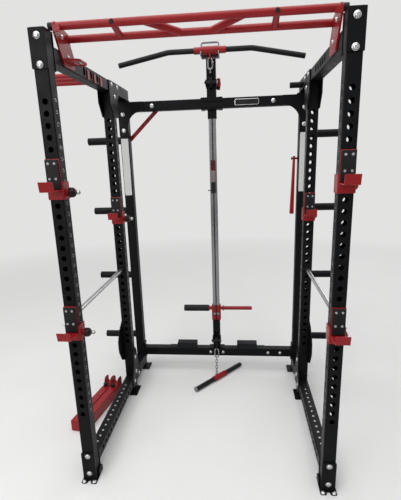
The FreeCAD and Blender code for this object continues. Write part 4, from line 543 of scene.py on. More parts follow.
class NodeRecipe:
    """A geometry node tree with named inputs that ends in real, painted geometry."""

    def __init__(self, name, **inputs):
        self.tree = bpy.data.node_groups.new(name, "GeometryNodeTree")
        new_socket = self.tree.interface.new_socket
        for in_out in ("INPUT", "OUTPUT"):
            new_socket("Geometry", in_out=in_out, socket_type="NodeSocketGeometry")
        self.sockets = {key: new_socket(key, in_out="INPUT", socket_type="NodeSocket" + kind).identifier
                        for key, kind in {**inputs, "Material": "Material"}.items()}
        self.start = self.add("NodeGroupInput").outputs

    def add(self, kind, settings=(), **inputs):
        return add_node(self.tree, kind, settings, **inputs)

    def copies(self, points, shape, turn, size):
        """Ends the tree with copies of a shape on points."""
        made = self.add(
            "GeometryNodeInstanceOnPoints", Points=points, Instance=shape, Rotation=turn, Scale=size)
        soft = self.add("GeometryNodeSetShadeSmooth", Geometry=made.outputs["Instances"])
        real = self.add("GeometryNodeRealizeInstances", Geometry=soft.outputs["Geometry"])
        painted = self.add(
            "GeometryNodeSetMaterial", Geometry=real.outputs["Geometry"], Material=self.start["Material"])
        self.add("NodeGroupOutput", Geometry=painted.outputs["Geometry"])
        return self

    def run(self, name, mesh, **values):
        """Runs the tree on a mesh and returns the result as a new piece."""
        piece = bpy.data.objects.new(name, mesh)
        bpy.context.scene.collection.objects.link(piece)
        modifier = piece.modifiers.new(self.tree.name, "NODES")
        modifier.node_group = self.tree
        for key, value in values.items():
            modifier[self.sockets[key]] = value
        baked(piece).data.set_sharp_from_angle(angle=SHARP)
        return piece


@cache
def copies_recipe():
    """Copies of a shape on points that carry a turn and a size."""
    recipe = NodeRecipe("copies_on_points", Shape="Object")
    shape = recipe.add("GeometryNodeObjectInfo", Object=recipe.start["Shape"])
    turn, size = (recipe.add("GeometryNodeInputNamedAttribute", {"data_type": kind}, Name=name)
                  for name, kind in (("turn", "QUATERNION"), ("size", "FLOAT_VECTOR")))
    return recipe.copies(recipe.start["Geometry"], shape.outputs["Geometry"], turn.outputs["Attribute"],
                         size.outputs["Attribute"])


@cache
def bead_recipe():
    """Overlapping ripples of weld metal along the edges of a mesh."""
    recipe = NodeRecipe("weld_bead", Radius="Float", Pitch="Float")
    seam = recipe.add("GeometryNodeMeshToCurve", Mesh=recipe.start["Geometry"])
    steps = recipe.add("GeometryNodeResampleCurve", {"mode": "LENGTH"}, Curve=seam.outputs["Curve"],
                       Length=recipe.start["Pitch"])
    ripple = recipe.add("GeometryNodeMeshUVSphere", Segments=10, Rings=6, Radius=recipe.start["Radius"])
    along = recipe.add("GeometryNodeInputTangent")
    turn = recipe.add("FunctionNodeAlignRotationToVector", {"axis": "X"}, Vector=along.outputs["Tangent"])
    uneven = recipe.add("FunctionNodeRandomValue", {"data_type": "FLOAT_VECTOR"}, Seed=7,
                        Min=(0.6, 0.86, 0.86), Max=(0.8, 1.06, 1.06))
    return recipe.copies(steps.outputs["Curve"], ripple.outputs["Mesh"], turn.outputs["Rotation"],
                         uneven.outputs["Value"])


def copies(name, shape, spots, look):
    """One piece with a copy of a shape at each spot: (place, turn, size)."""
    mesh = bpy.data.meshes.new(name + "_spots")
    mesh.from_pydata([spot[0] for spot in spots], [], [])
    for column, key, kind, field in ((1, "turn", "QUATERNION", "value"), (2, "size", "FLOAT_VECTOR", "vector")):
        data = mesh.attributes.new(key, kind, "POINT").data
        data.foreach_set(field, [number for spot in spots for number in spot[column]])
    pattern = new_piece("pattern", shape)
    pattern.hide_render = True
    piece = copies_recipe().run(name, mesh, Shape=pattern, Material=finish(look))
    drop(pattern)
    return piece


def joined(name, *pieces):
    """Several pieces of one body as one mesh that keeps their materials."""
    shape = bmesh.new()
    materials = []
    for piece in pieces:
        start = len(shape.faces)
        shape.from_mesh(piece.data)
        shape.faces.ensure_lookup_table()
        for face in shape.faces[start:]:
            material = piece.data.materials[face.material_index]
            if material not in materials:
                materials.append(material)
            face.material_index = materials.index(material)
        drop(piece)
    whole = new_piece(name, shape)
    for material in materials:
        whole.data.materials.append(material)
    return whole


def square_seam(centre, way, wide=TUBE):
    """A weld path round a square tube."""
    outline = rounded_rectangle(wide, TUBE, 0.005, Y_WAY, 4)
    return [centre + turned(way) @ place for place in outline]


def round_seam(centre, way, radius):
    """A weld path round a round tube."""
    return [centre + turned(way) @ Vector((math.cos(turn), math.sin(turn), 0)) * radius for turn in turns(36)]


def weld(name, node, loops):
    """Weld beads along closed paths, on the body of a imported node."""
    mesh = bpy.data.meshes.new(name + "_seams")
    places, edges = [], []
    for loop in loops:
        first, corners = len(places), len(loop)
        places += loop
        edges += [(first + number, first + (number + 1) % corners) for number in range(corners)]
    mesh.from_pydata(places, edges, [])
    size = sizes()
    settle(bead_recipe().run(name, mesh, Radius=size.bead, Pitch=size.bead_pitch,
                             Material=finish(SLOT_OF[node])), node)


# ----- pieces -----

UPRIGHTS = [f"{place}_{side}" for place in ("front_upright", "rear_upright", "lat_post")
            for side in ("left", "right")]
CUPS = [f"{place}_{side}" for place in ("front_upper", "front_lower", "rear") for side in ("left", "right")]


class CagePiece:
    """What every builder of this cage shares."""

    bl_options = {"REGISTER", "UNDO"}

    def execute(self, context):
        self.build()
        return {"FINISHED"}


class BuildUprights(CagePiece, bpy.types.Operator):
    """The six upright tubes, their end caps and the eyelets of the side holes"""

    bl_idname = "power_cage.uprights"
    bl_label = "Uprights"

    clearance = 0.0001  # from a side hole to its eyelet
    corner = 0.006  # radius of a cap's corners

    def build(self):
        caps, ring = bmesh.new(), bmesh.new()
        for node in UPRIGHTS:
            refined(node)
            self.cap(caps, spot(node, z=1), span(node).x - 0.001)
        black_caps("upright_end_caps", caps, UPRIGHTS[0])
        size = sizes()
        inner = size.side_hole_radius + self.clearance
        outer = inner + size.eyelet_rim
        lathe(ring, [(0, inner), (0.0003, inner), (0.00042, inner + 0.3 * size.eyelet_rim), (0.0003, outer),
                     (0, outer)], segments=16, ring=True)
        spots = []
        for node in UPRIGHTS[:4]:
            for number in range(size.side_hole_count):
                for side in SIDES:
                    place = spot(node, side)
                    place.z = size.side_hole_first + number * size.hole_pitch
                    spots.append((place, turned(X_WAY * side), UNSCALED))
        settle(copies("side_hole_eyelets", ring, spots, "zinc_bolts"), UPRIGHTS[0], slot="zinc_bolts")

    def cap(self, shape, centre, side):
        """A moulded plug on the open end of an upright tube, with a low crown."""
        rows = []
        for rise, share in ((0, 1), (0.55, 1), (0.9, 0.97), (1, 0.86), (1, 0.6), (0.8, 0.57), (0.8, 0)):
            wide = side * share
            outline = rounded_rectangle(wide, wide, self.corner * share, Y_WAY, 5) if share else [Vector()]
            level = centre + Z_WAY * rise * sizes().cap_height
            rows.append([shape.verts.new(place + level) for place in outline])
        bridged(shape, rows, ends=True)


class BuildBeams(CagePiece, bpy.types.Operator):
    """The top side beams, the base rails and the short ties behind them, with their welds"""

    bl_idname = "power_cage.beams"
    bl_label = "Beams and rails"

    def build(self):
        for node in ("top_beam_left", "top_beam_right", "base_rail_left", "base_rail_right", "rear_ties"):
            refined(node)
        x, y = spot("top_beam_right").x, spot("top_beam_left", y=-1).y + PLATE
        weld("beam_welds", "top_beam_left", [
            square_seam(Vector((side * x, y, level)), Y_WAY)
            for side in SIDES for level in (RAIL_LEVEL, BEAM_LEVEL)])
        size = sizes()
        outer = size.side_hole_radius - 0.0001
        ring = bmesh.new()
        lathe(ring, [(-0.0029, outer), (0.0001, outer), (0.0001, outer + 0.0007), (0.0005, outer + 0.0004),
                     (0.0006, outer - 0.0006), (-0.0004, outer - 0.0032), (-0.0029, outer - 0.0034)],
              segments=16, ring=True)
        first = spot("front_upright_left", y=-1).y + size.rail_hole_first
        places = [(side * RAIL_SIDE, first + number * size.hole_pitch, RAIL_LEVEL + TUBE / 2)
                  for side in SIDES for number in range(size.rail_hole_count)]
        bushings = [(place, turned(Z_WAY), UNSCALED) for place in places]
        settle(copies("rail_hole_bushings", ring, bushings, "zinc_bolts"), "base_rail_left", slot="zinc_bolts")


class BuildPlates(CagePiece, bpy.types.Operator):
    """The plates that clamp the corners and the feet under the posts"""

    bl_idname = "power_cage.plates"
    bl_label = "Plates and feet"

    def build(self):
        for node in ("front_top_plates", "joint_plates", "feet"):
            refined(node)
        weld("foot_welds", "feet", [
            square_seam(Vector((spot(node).x, spot(node).y, PLATE)), Z_WAY) for node in UPRIGHTS[2:]])


class BuildCrossmembers(CagePiece, bpy.types.Operator):
    """The two rear crossmembers, the corner brace and the two rubber blocks"""

    bl_idname = "power_cage.crossmembers"
    bl_label = "Crossmembers"

    def build(self):
        for node in ("top_crossmember", "bottom_crossmember", "corner_brace"):
            refined(node)
        middle, reach = spot("bottom_crossmember"), spot("bottom_crossmember", 1).x - PLATE
        weld("crossmember_welds", "bottom_crossmember", [
            square_seam(Vector((side * reach, middle.y, middle.z)), X_WAY) for side in SIDES])
        shape = merged("foot_blocks")
        cut(shape, spot("foot_blocks", z=-1) + Z_WAY * 0.003, Z_WAY)
        round_edges(shape, 0.001)
        panels = [face for face in shape.faces if abs(face.normal.y) > 0.99 and face.calc_area() > 0.0035]
        bmesh.ops.inset_individual(shape, faces=panels, thickness=0.006, depth=0)
        bmesh.ops.inset_individual(shape, faces=panels, thickness=0.0012, depth=-0.0014)
        refined("foot_blocks", "black_rubber", width=0, shape=shape)


# Rings for stacked() of a head and a nut, and a shank's profile for lathe(), all of radius and length 1
BUTTON_HEAD = ((0, 0.2, 0), (0, 1, 0), (0.1, 1, 0), (0.2, 0.93, 0), (0.26, 0.8, 0), (0.55, 0.76, 0),
               (0.8, 0.64, 0), (0.95, 0.46, 0), (1, 0.33, 0), (0.99, 1, 0.25), (0.45, 1, 0.25))
NUT = ((0, 0.2, 0), (0, 0.86, 0.866), (0.12, 1, 0.866), (0.82, 1, 0.866), (0.94, 0.86, 0.866), (0.94, 0.64, 0),
       (0.9, 0.6, 0), (0.9, 0.55, 0), (1, 0.5, 0), (1, 0.2, 0))
THREAD = [(0.7 + number * 0.035 + rise, radius)
          for number in range(8) for rise, radius in ((0.012, 0.9), (0.03, 1))]
SHANK = [(0, 0), (0, 1), (0.7, 1), *THREAD, (0.98, 1), (1, 0.9), (1, 0)]


class BuildFasteners(CagePiece, bpy.types.Operator):
    """Every flanged button bolt, its nut and the screws of the plates"""

    bl_idname = "power_cage.fasteners"
    bl_label = "Fasteners"

    height = 0.007  # of a head or a nut
    crown, slim, nutted = 0.74, 0.66, 0.85  # ends as shares of a head: its crown, a bare one under, a nut over
    small_head, small_shank, large_shank = 0.0105, 0.006, 0.008  # radii

    def build(self):
        heads, nuts, shanks, axles = [], [], [], []
        height = self.height
        for places in islands("bolts"):
            low, high = places.min(0), places.max(0)
            size, centre = high - low, (low + high) / 2
            axis = int(np.argmax(np.abs(3 * size - size.sum())))
            radial = np.hypot(*np.delete(places - centre, axis, 1).T)
            widest = radial.max()
            way = Vector((0, 0, 0))
            way[axis] = 1
            ends = {side: radial[np.abs(places[:, axis] - end) < 2e-5].max() / widest
                    for side, end in zip(SIDES, (low[axis], high[axis]))}
            side = min(SIDES, key=lambda value: abs(ends[value] - self.crown))
            base = Vector(centre)
            base[axis] = (high[axis] if side > 0 else low[axis]) - side * height
            spin = (base.x * 37 + base.y * 23 + base.z * 11) % math.pi
            axle = abs(centre[0]) < 0.04 and centre[1] > 0.5 and axis == 0 and size[0] > 0.04
            (axles if axle else heads).append((base, turned(way * side, spin), (widest, widest, height)))
            run, bare = size[axis] - height, ends[-side]
            if run < 0.002:
                continue
            shank = self.small_shank if widest < self.small_head else self.large_shank
            thin = bare * widest if bare < self.slim else shank
            shanks.append((base, turned(-way * side), (thin, thin, run - 0.0002)))
            if bare > self.nutted:
                seat = base - way * side * (run - height)
                nuts.append((seat, turned(-way * side, spin * 1.7), (widest * 0.9, widest * 0.9, height)))
        shank = bmesh.new()
        lathe(shank, SHANK, segments=18)
        pieces = [copies("bolt_heads", stacked(BUTTON_HEAD), heads, "zinc_bolts"),
                  copies("bolt_nuts", stacked(NUT), nuts, "zinc_bolts"),
                  copies("axle_heads", stacked(BUTTON_HEAD), axles, "black_plastic"),
                  copies("bolt_shanks", shank, shanks, "zinc_bolts")]
        settle(joined("cage_fasteners", *pieces), "bolts", "bolts")


def round_cap(shape, at, way, radius, height, segments=24):
    """A thin domed cap on the end of a round tube."""
    lathe(shape, [(0, 0), (0, radius), (height * 0.5, radius), (height * 0.85, radius * 0.95),
                  (height, radius * 0.8), (height, 0)], at, way, segments)


class BuildPullUpBar(CagePiece, bpy.types.Operator):
    """The multi-grip pull-up bar and its side brackets"""

    bl_idname = "power_cage.pull_up_bar"
    bl_label = "Pull-up bar"

    sleeve = 0.017  # how long the black ends of the front tube are
    brace_side, brace_radius = 0.318, 0.0095  # where the cross braces show on the front tube

    def build(self):
        refined("pullup_rear_tube")
        refined("pullup_brackets")
        node = "pullup_front_tube"
        end, radius = spot(node, 1).x, span(node).z / 2
        sleeve = end - self.sleeve
        shape, caps = merged(node), bmesh.new()
        for side in SIDES:
            cut(shape, X_WAY * side * sleeve, X_WAY)
            round_cap(caps, spot(node, side), X_WAY * side, radius, 0.003, 32)
            brace = spot(node) + Vector((side * self.brace_side, 0.0002 - radius, 0))
            round_cap(caps, brace, -Y_WAY, self.brace_radius, 0.0022)
        tube = refined(node, "red_frame", "black_plastic", shape=shape)
        paint_where(tube, lambda place: abs(place.x) > sleeve, 1)
        black_caps("pullup_caps", caps, node)
        node = "pullup_rear_tube"
        rear = Vector((0, spot(node, y=1).y - radius, spot(node, z=-1).z + radius))
        reach = spot(node, 1).x - 0.0005
        weld("pullup_welds", node, [round_seam(rear + X_WAY * side * reach, X_WAY, radius) for side in SIDES])


class BuildStorage(CagePiece, bpy.types.Operator):
    """The weight pegs, the side tubes, the inner pegs and the hanging bar"""

    bl_idname = "power_cage.storage"
    bl_label = "Storage"

    def build(self):
        for node in ("weight_pegs", "side_tubes", "inner_pegs", "hanging_bar"):
            refined(node)
        loops = []
        for places in islands("weight_pegs"):
            low, high = Vector(places.min(0)), Vector(places.max(0))
            root = (low + high) / 2
            root.x = low.x if root.x > 0 else high.x
            loops.append(round_seam(root, X_WAY, (high.z - low.z) / 2))
        weld("peg_welds", "weight_pegs", loops)
        caps = bmesh.new()
        for places in islands("side_tubes"):
            rim = places[places[:, 0] < places[:, 0].min() + 1e-5]
            low, high = Vector(rim.min(0)), Vector(rim.max(0))
            round_cap(caps, (low + high) / 2, -X_WAY, (high.z - low.z) / 2, 0.0025)
        black_caps("side_tube_caps", caps, "side_tubes")


class BuildSafetyRods(CagePiece, bpy.types.Operator):
    """The two plated rods through the uprights"""

    bl_idname = "power_cage.safety_rods"
    bl_label = "Safety rods"

    def build(self):
        for node in ("safety_rod_left", "safety_rod_right"):
            radius, run, nose = span(node).z / 2, span(node).y, 0.003
            rounding = [(nose * (1 - math.sin(turn)), radius - nose * (1 - math.cos(turn)))
                        for turn in turns(20)[:6]]
            profile = [(0, 0), *rounding[::-1], *((run - back, across) for back, across in rounding), (run, 0)]
            shape = bmesh.new()
            lathe(shape, profile, spot(node, y=-1), Y_WAY, 48)
            settle(new_piece(node.replace("safety", "plated"), shape, "rod"), node, node)


class BuildBarCups(CagePiece, bpy.types.Operator):
    """The bent bar cups with their liners and buttons"""

    bl_idname = "power_cage.bar_cups"
    bl_label = "Bar cups"

    def build(self):
        for cup in CUPS:
            refined("bar_cup_" + cup)
        refined("cup_liners", "black_plastic", width=0.0015)
        button = bmesh.new()
        lathe(button, [(-0.3, 0), (-0.3, 1), (0.1, 1), (0.24, 0.93), (0.3, 0.8), (0.24, 0.55), (0.24, 0)],
              segments=20)
        spots = []
        for places in islands("cup_liners"):
            low, high = places.min(0), places.max(0)
            for across in (-0.0135, 0.0135):
                for share in (0.35, 0.87):
                    place = ((low[0] + high[0]) / 2 + across, low[1], low[2] + (high[2] - low[2]) * share)
                    spots.append((place, turned(-Y_WAY), [sizes().rivet_radius] * 3))
        settle(copies("liner_buttons", button, spots, "rivet"), "cup_liners", slot="grey_nylon")


class BuildCupPins(CagePiece, bpy.types.Operator):
    """The sprung pins of the cups, with dome knobs and ball ends on the left and low heads on the right"""

    bl_idname = "power_cage.cup_pins"
    bl_label = "Cup pins"

    pin, ball, neck, small_head = 0.0054, 0.01, 0.0052, 0.015

    def build(self):
        for cup in CUPS:
            node = "cup_pin_" + cup
            end, radius = span(node).x, span(node).z / 2
            shape = bmesh.new()
            at = spot(node, -1)
            if radius < self.small_head:
                self.headed(shape, at, end, radius)
                settle(new_piece(node + "_turned", shape, "chrome"), node, node)
            else:
                self.knobbed(shape, at, end, radius)
                settle(new_piece("pull_pin_" + cup, shape, "chrome", "knob"), node, node)

    def headed(self, shape, at, end, head):
        """A pin that ends in a low crowned head."""
        crown = ((0.0048, self.pin), (0.0048, head - 0.0005), (0.0043, head), (0.0022, head),
                 (0.0006, head - 0.0016), (0.0001, head - 0.0042), (0.0001, 0.0026), (0.0011, 0.0018),
                 (0.0011, 0))
        lathe(shape, [(0, 0), (0, self.pin - 0.0012), (0.0015, self.pin),
                      *((end - back, across) for back, across in crown)], at, X_WAY)

    def knobbed(self, shape, at, end, knob):
        """A pin with a grooved dome knob and a ball behind it."""
        pin, ball, neck = self.pin, self.ball, self.neck
        knob_end = end - 2 * ball - 0.0005
        start = knob_end - 0.0275
        lathe(shape, [(0, 0), (0, pin - 0.0012), (0.0015, pin), (start + 0.001, pin), (start + 0.001, 0)],
              at, X_WAY, 24)
        grip = [(start, 0), (start, knob - 0.0012), (start + 0.0012, knob)]
        for groove in (start + 0.003, start + 0.0066):
            grip += [(groove, knob), (groove + 0.0007, knob - 0.001), (groove + 0.0019, knob - 0.001),
                     (groove + 0.0026, knob)]
        dome, hole = start + 0.011, 0.006
        grip += [(dome + (knob_end - dome) * math.sin(turn), hole + (knob - hole) * math.cos(turn))
                 for turn in turns(36)[:9]]
        lathe(shape, grip + [(knob_end, hole), (knob_end, 0)], at, X_WAY, 40, 1)
        centre, first, steps = end - ball, math.radians(24), 14
        bends = [first + (math.pi - first) * step / steps for step in range(steps)]
        lathe(shape, [(knob_end - 0.001, 0), (knob_end - 0.001, neck), (centre - ball * 0.86, neck),
                      *((centre - ball * math.cos(turn), ball * math.sin(turn)) for turn in bends), (end, 0)],
              at, X_WAY)


class BuildTower(CagePiece, bpy.types.Operator):
    """The cable tower: columns, saddle, guide rail, bar holder and latch lever"""

    bl_idname = "power_cage.tower"
    bl_label = "Cable tower"

    def build(self):
        for node in ("lat_column", "column_saddle", "lower_column", "latch_lever"):
            refined(node)
        for node in ("guide_rail", "bar_holder"):
            refined(node, "steel", width=sizes().soft_round)
        y = spot("guide_rail").y - 0.01
        weld("tower_welds", "lat_column", [
            square_seam(Vector((0, y, spot(node, z=-1).z + rise)), Z_WAY, wide)
            for node, rise, wide in (("lat_column", 0.0005, TUBE), ("lower_column", PLATE, 0.052))])


class BuildPulleys(CagePiece, bpy.types.Operator):
    """The two grooved wheels, the cable and its coupler"""

    bl_idname = "power_cage.pulleys"
    bl_label = "Pulleys and cable"

    def wheel(self, node, run):
        """A grooved wheel with recessed sides; run is the radius that the cable's middle runs on."""
        rim, hub_half = span(node).z / 2, span(node).x / 2
        half, bore, hub, groove = 0.007, 0.00605, 0.01005, 0.0032
        arc = [(groove * math.cos(turn), run - groove * math.sin(turn)) for turn in turns(16)[:9]]
        side = [(hub_half, bore), (hub_half, hub - 0.0006), (hub_half - 0.0006, hub), (half, hub),
                (half, hub + 0.002), (half - 0.002, hub + 0.004), (half - 0.002, rim - 0.0085),
                (half, rim - 0.0068), (half, rim - 0.0008), (half - 0.0008, rim), (groove + 0.0009, rim),
                (groove, rim - 0.001)]
        profile = side + arc + [(-along, radius) for along, radius in reversed(side)]
        shape = bmesh.new()
        lathe(shape, profile, spot(node), X_WAY, 64, ring=True)
        settle(new_piece(node + "_wheel", shape, "grey_nylon"), node, node)

    def build(self):
        self.wheel("top_pulley", 0.031)
        self.wheel("low_pulley", 0.025)
        refined("lat_cable", width=0)
        node = "cable_coupler"
        shape = merged(node)
        low, height = spot(node, z=-1).z, span(node).z
        for share in (0.34, 0.35, 0.68, 0.69):
            cut(shape, Z_WAY * (low + height * share), Z_WAY)
        coupler = refined(node, "black_plastic", "coupler_grey", "coupler_red", width=0.0018, shape=shape)
        paint_where(coupler, lambda place: 0.345 < (place.z - low) / height < 0.685, 1)
        paint_where(coupler, lambda place: (place.z - low) / height >= 0.685, 2)


class BuildCarriage(CagePiece, bpy.types.Operator):
    """The plate carriage on the rail and the sleeve on its left horn"""

    bl_idname = "power_cage.carriage"
    bl_label = "Carriage"

    def build(self):
        refined("weight_carriage")
        refined("adapter_sleeve", "black_plastic", width=0.0015)
        y, z = spot("guide_rail").y, spot("adapter_sleeve").z
        weld("carriage_welds", "weight_carriage", [
            round_seam(Vector((x, y, z)), X_WAY, 0.0135) for x in (-0.0285, 0.0285)])


def island_piece(node, places, look):
    """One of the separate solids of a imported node, as a piece with rounded edges."""
    shape = merged(node)
    centre, reach = (places.min(0) + places.max(0)) / 2, np.ptp(places, 0) / 2 + 1e-5
    gone = [vertex for vertex in shape.verts if (np.abs(np.array(vertex.co) - centre) > reach).any()]
    bmesh.ops.delete(shape, geom=gone, context="VERTS")
    round_edges(shape, 0.0006)
    return new_piece(node + "_part", shape, look)


def snap_hook(name, centre, way, side, long, wide, wire):
    """An oval snap hook with a gate, a threaded sleeve and its pivot."""
    shape = bmesh.new()
    sweep(shape, oval_path(centre, way, side, long, wide), wire, 14)
    run, gate = (long - wide) / 2, centre + side * wide / 2
    sleeve = ((-0.95, 0), (-0.95, 1.12), (-0.8, 1.3), (0.1, 1.3), (0.16, 1.12), (0.9, 1.12), (0.96, 0.8),
              (0.96, 0))
    pivot = ((-1.35, 0), (-1.35, 0.4), (-1.2, 0.5), (1.2, 0.5), (1.35, 0.4), (1.35, 0))
    lathe(shape, [(run * along, wire * radius) for along, radius in sleeve], gate, way, 24)
    lathe(shape, [(wire * along, wire * radius) for along, radius in pivot], gate - way * run * 0.9,
          way.cross(side), 12)
    return new_piece(name, shape, "steel")


class BuildLatBar(CagePiece, bpy.types.Operator):
    """The wide lat bar with its snap hook and swivel ring"""

    bl_idname = "power_cage.lat_bar"
    bl_label = "Lat bar"

    red_half = 0.0972  # half the width of the red middle

    def build(self):
        bar = refined("lat_bar", "black_grip", "red_frame", width=sizes().soft_round)
        paint_where(bar, lambda place: abs(place.x) < self.red_half, 1)
        hook, ring = sorted(islands("bar_link"), key=lambda places: -places[:, 2].max())
        low, size = Vector(hook.min(0)), Vector(np.ptp(hook, 0))
        snap = snap_hook("snap", low + size / 2, -Z_WAY, X_WAY, size.z - size.y, size.x - size.y, size.y / 2)
        ring = island_piece("bar_link", ring, "steel")
        settle(joined("lat_hook_and_ring", snap, ring), "bar_link", "bar_link")


class BuildLowBar(CagePiece, bpy.types.Operator):
    """The low bar on the floor with its chain and snap hook"""

    bl_idname = "power_cage.low_bar"
    bl_label = "Low bar"

    lean, middle = math.radians(50), 0.004  # its turn on the floor, and how far its middle is from its box's
    red_half, eye_start = 0.0625, -0.2345  # along the bar
    hook_wire, link_wire, link_wide = 0.004, 0.0026, 0.014

    def build(self):
        bar = refined("low_bar", "black_grip", "red_frame", "steel", width=sizes().soft_round)
        way = Vector((math.cos(self.lean), math.sin(self.lean), 0))
        centre = spot("low_bar") + way * self.middle
        paint_where(bar, lambda place: abs((place - centre).dot(way)) < self.red_half, 1)
        paint_where(bar, lambda place: (place - centre).dot(way) < self.eye_start, 2)
        hook, *links = sorted(islands("low_link"), key=lambda places: -places.mean(0)[2])
        start = Vector(hook.mean(0))
        ahead = (Vector(links[-1].mean(0)) - start).normalized()
        wire = self.hook_wire
        long, wide = (np.ptp(run) - 2 * wire for run in (hook @ ahead, hook[:, 0]))
        snap = snap_hook("snap", start, ahead, X_WAY, long, wide, wire)
        wire = self.link_wire
        pattern, long = bmesh.new(), np.ptp(links[0] @ ahead) - 2 * wire
        sweep(pattern, oval_path(Vector(), Z_WAY, X_WAY, long, self.link_wide, 8), wire, 10)
        spots = []
        for places in links:
            centred = places - places.mean(0)
            side = ahead.cross(Vector(np.linalg.eigh(centred.T @ centred)[1][:, 0])).normalized()
            turn = Matrix((side, ahead.cross(side), ahead)).transposed().to_quaternion()
            spots.append(((places.min(0) + places.max(0)) / 2, turn, UNSCALED))
        chain = copies("low_chain", pattern, spots, "steel")
        settle(joined("low_hook_and_chain", snap, chain), "low_link", "low_link")


class BuildSpotterArms(CagePiece, bpy.types.Operator):
    """The two loose spotter arms on the floor"""

    bl_idname = "power_cage.spotter_arms"
    bl_label = "Spotter arms"

    knob_top, knob_height, knob_radius = 0.092, 0.0215, 0.0143

    def build(self):
        for node in ("spotter_arm_inner", "spotter_arm_outer"):
            arm = refined(node, "red_frame", "black_plastic", width=sizes().soft_round)
            places = np.concatenate(islands(node))
            knob = places[np.abs(places[:, 2] - self.knob_top) < 1e-4].mean(0)
            paint_where(arm, lambda place: -self.knob_height < place.z - self.knob_top < 1e-4
                        and math.hypot(place.x - knob[0], place.y - knob[1]) < self.knob_radius, 1)


class BuildLabels(CagePiece, bpy.types.Operator):
    """The blank nameplate and the blank labels on the rear posts"""

    bl_idname = "power_cage.labels"
    bl_label = "Labels"

    badge_corner, label_corner = 0.009, 0.003
    label_wide, label_high, label_level = 0.048, 0.372, 1.514

    def build(self):
        size = span("nameplate")
        shape, labels = bmesh.new(), bmesh.new()
        outline = rounded_rectangle(size.x, size.z, self.badge_corner)
        slab(shape, outline, spot("nameplate", y=1), -Y_WAY * size.y)
        round_edges(shape, 0.0005)
        front = min(shape.faces, key=lambda face: (round(face.calc_center_median().y, 5), -face.calc_area()))
        bmesh.ops.inset_individual(shape, faces=[front], thickness=0.0032, depth=0)
        bmesh.ops.inset_individual(shape, faces=[front], thickness=0.0006, depth=-0.0009)
        front.material_index = 1
        settle(new_piece("blank_nameplate", shape, "badge", "black_plastic"), "nameplate", "nameplate")
        outline = rounded_rectangle(self.label_wide, self.label_high, self.label_corner)
        for side in SIDES:
            centre = Vector((side * POST_SIDE, spot("lat_post_right", y=-1).y, self.label_level))
            slab(labels, outline, centre, -Y_WAY * 0.0004)
        settle(new_piece("blank_labels", labels, "label"), "lat_post_left", slot="badge")


# ----- studio -----

LAMPS = (  # name, which power, its share, size, place, target
    ("overhead_soft_box", "key", 1, 6.5, (-0.6, -0.9, 4.9), (0, 0, 0.6)),
    ("front_soft_box", "fill", 1, 2.4, (-2.4, -4.4, 2.6), (0, 0, 1)),
    ("rear_soft_box", "fill", 0.6, 2.4, (2.6, 4.0, 2.8), (0, 0, 1)),
)
FLOOR_REACH = 14.0
FADE_START, FADE_END = 1.6, 6.0  # from the middle of the cage


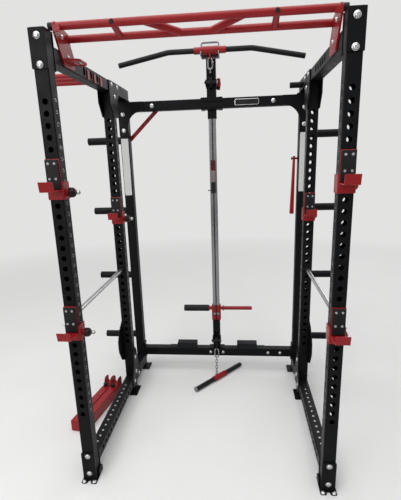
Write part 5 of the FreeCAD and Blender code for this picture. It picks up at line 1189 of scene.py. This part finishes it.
class BuildStage(CagePiece, bpy.types.Operator):
    """The pale floor, the soft light and the camera"""

    bl_idname = "power_cage.stage"
    bl_label = "Stage"

    def build(self):
        scene = bpy.context.scene
        self.floor()
        self.world(scene)
        self.lamps(scene)
        self.camera(scene)
        scene.view_settings.view_transform = "Standard"

    def floor(self):
        """A floor that, where only the camera looks, turns into the backdrop's colour far from the cage."""
        shape = bmesh.new()
        shape.faces.new([shape.verts.new((x * FLOOR_REACH, y * FLOOR_REACH, 0))
                         for x, y in ((-1, -1), (1, -1), (1, 1), (-1, 1))])
        surface = Finish("studio_floor", specular=0.2)
        surface.paint(colours().floor, 0.02, 2.0)
        surface.gloss(0.55, 0.7, 3.0)
        surface.skin((surface.noise(40.0, 4.0), 0.0002))
        away = surface.node("ShaderNodeVectorMath", {"operation": "LENGTH"}, surface.place)
        far = surface.spread(away.outputs["Value"], 0, 1, FADE_START, FADE_END)
        looked_at = surface.node("ShaderNodeLightPath").outputs["Is Camera Ray"]
        share = surface.node("ShaderNodeMath", {"operation": "MULTIPLY"}, far, looked_at)
        glow = surface.node("ShaderNodeEmission", Color=colours().backdrop)
        mix = surface.node("ShaderNodeMixShader", (), share.outputs["Value"], surface.shader.outputs["BSDF"],
                           glow.outputs["Emission"])
        put(surface.tree, mix.outputs["Shader"], surface.output.inputs["Surface"])
        floor = new_piece("studio_floor", shape)
        floor.data.materials.append(surface.material)

    def world(self, scene):
        """Even light, and the backdrop's colour where the camera, gloss or glass looks at it."""
        world = scene.world = bpy.data.worlds.new("pale_studio")
        world.use_nodes = True
        tree = world.node_tree
        tree.nodes.clear()
        lit = add_node(tree, "ShaderNodeBackground", Strength=scene.cage_stage.ambient)
        seen = add_node(tree, "ShaderNodeBackground", Color=colours().backdrop)
        path = add_node(tree, "ShaderNodeLightPath").outputs
        either = path["Is Camera Ray"]
        for ray in ("Is Glossy Ray", "Is Transmission Ray"):
            pick = add_node(tree, "ShaderNodeMath", {"operation": "MAXIMUM"}, either, path[ray])
            either = pick.outputs["Value"]
        mix = add_node(tree, "ShaderNodeMixShader", (), either, lit.outputs[0], seen.outputs[0])
        add_node(tree, "ShaderNodeOutputWorld", Surface=mix.outputs[0])

    def lamps(self, scene):
        for name, source, share, size, place, target in LAMPS:
            lamp = bpy.data.lights.new(name, "AREA")
            lamp.energy = getattr(scene.cage_stage, source) * share
            lamp.shape = "DISK"
            lamp.size = size
            holder = bpy.data.objects.new(name, lamp)
            holder.location = place
            holder.rotation_euler = (Vector(target) - Vector(place)).to_track_quat("-Z", "Y").to_euler()
            scene.collection.objects.link(holder)

    def camera(self, scene):
        stage = scene.cage_stage
        yaw, pitch, roll = stage.aim
        ahead = Vector((math.sin(yaw), math.cos(yaw), -math.tan(pitch))).normalized()
        level = Vector((math.cos(yaw), -math.sin(yaw), 0))
        down = ahead.cross(level)
        right = level * math.cos(roll) + down * math.sin(roll)
        down = down * math.cos(roll) - level * math.sin(roll)
        lens = bpy.data.cameras.new("studio_camera")
        lens.sensor_fit = "HORIZONTAL"
        lens.sensor_width = 36
        lens.lens = stage.lens
        lens.shift_y = stage.shift
        lens.clip_end = 60
        camera = bpy.data.objects.new("studio_camera", lens)
        turn = Matrix((right, -down, -ahead)).transposed().to_4x4()
        camera.matrix_world = Matrix.Translation(stage.eye) @ turn
        scene.collection.objects.link(camera)
        scene.camera = camera


PROPERTIES = {"cage_colours": CageColours, "cage_sizes": CageSizes, "cage_stage": StageSettings}
BUILDERS = (BuildStage, BuildUprights, BuildBeams, BuildPlates, BuildCrossmembers, BuildFasteners,
            BuildPullUpBar, BuildStorage, BuildSafetyRods, BuildBarCups, BuildCupPins, BuildTower, BuildPulleys,
            BuildCarriage, BuildLatBar, BuildLowBar, BuildSpotterArms, BuildLabels)


class CagePanel(bpy.types.Panel):
    """Lists the builders of the cage and their settings"""

    bl_idname = "VIEW3D_PT_power_cage"
    bl_label = "Power cage"
    bl_space_type = "VIEW_3D"
    bl_region_type = "UI"
    bl_category = "Power cage"

    def draw(self, context):
        for builder in BUILDERS:
            self.layout.operator(builder.bl_idname)
        for group in PROPERTIES:
            for name in PROPERTIES[group].__annotations__:
                self.layout.prop(getattr(context.scene, group), name)


def register():
    for kind in (*PROPERTIES.values(), *BUILDERS, CagePanel):
        bpy.utils.register_class(kind)
    for name, kind in PROPERTIES.items():
        setattr(bpy.types.Scene, name, bpy.props.PointerProperty(type=kind))


def unregister():
    for name in PROPERTIES:
        delattr(bpy.types.Scene, name)
    for kind in reversed((*PROPERTIES.values(), *BUILDERS, CagePanel)):
        bpy.utils.unregister_class(kind)


def main():
    """Builds every piece in order."""
    register()
    for builder in BUILDERS:
        group, name = builder.bl_idname.split(".")
        getattr(getattr(bpy.ops, group), name)()


if __name__ == "__main__":
    main()
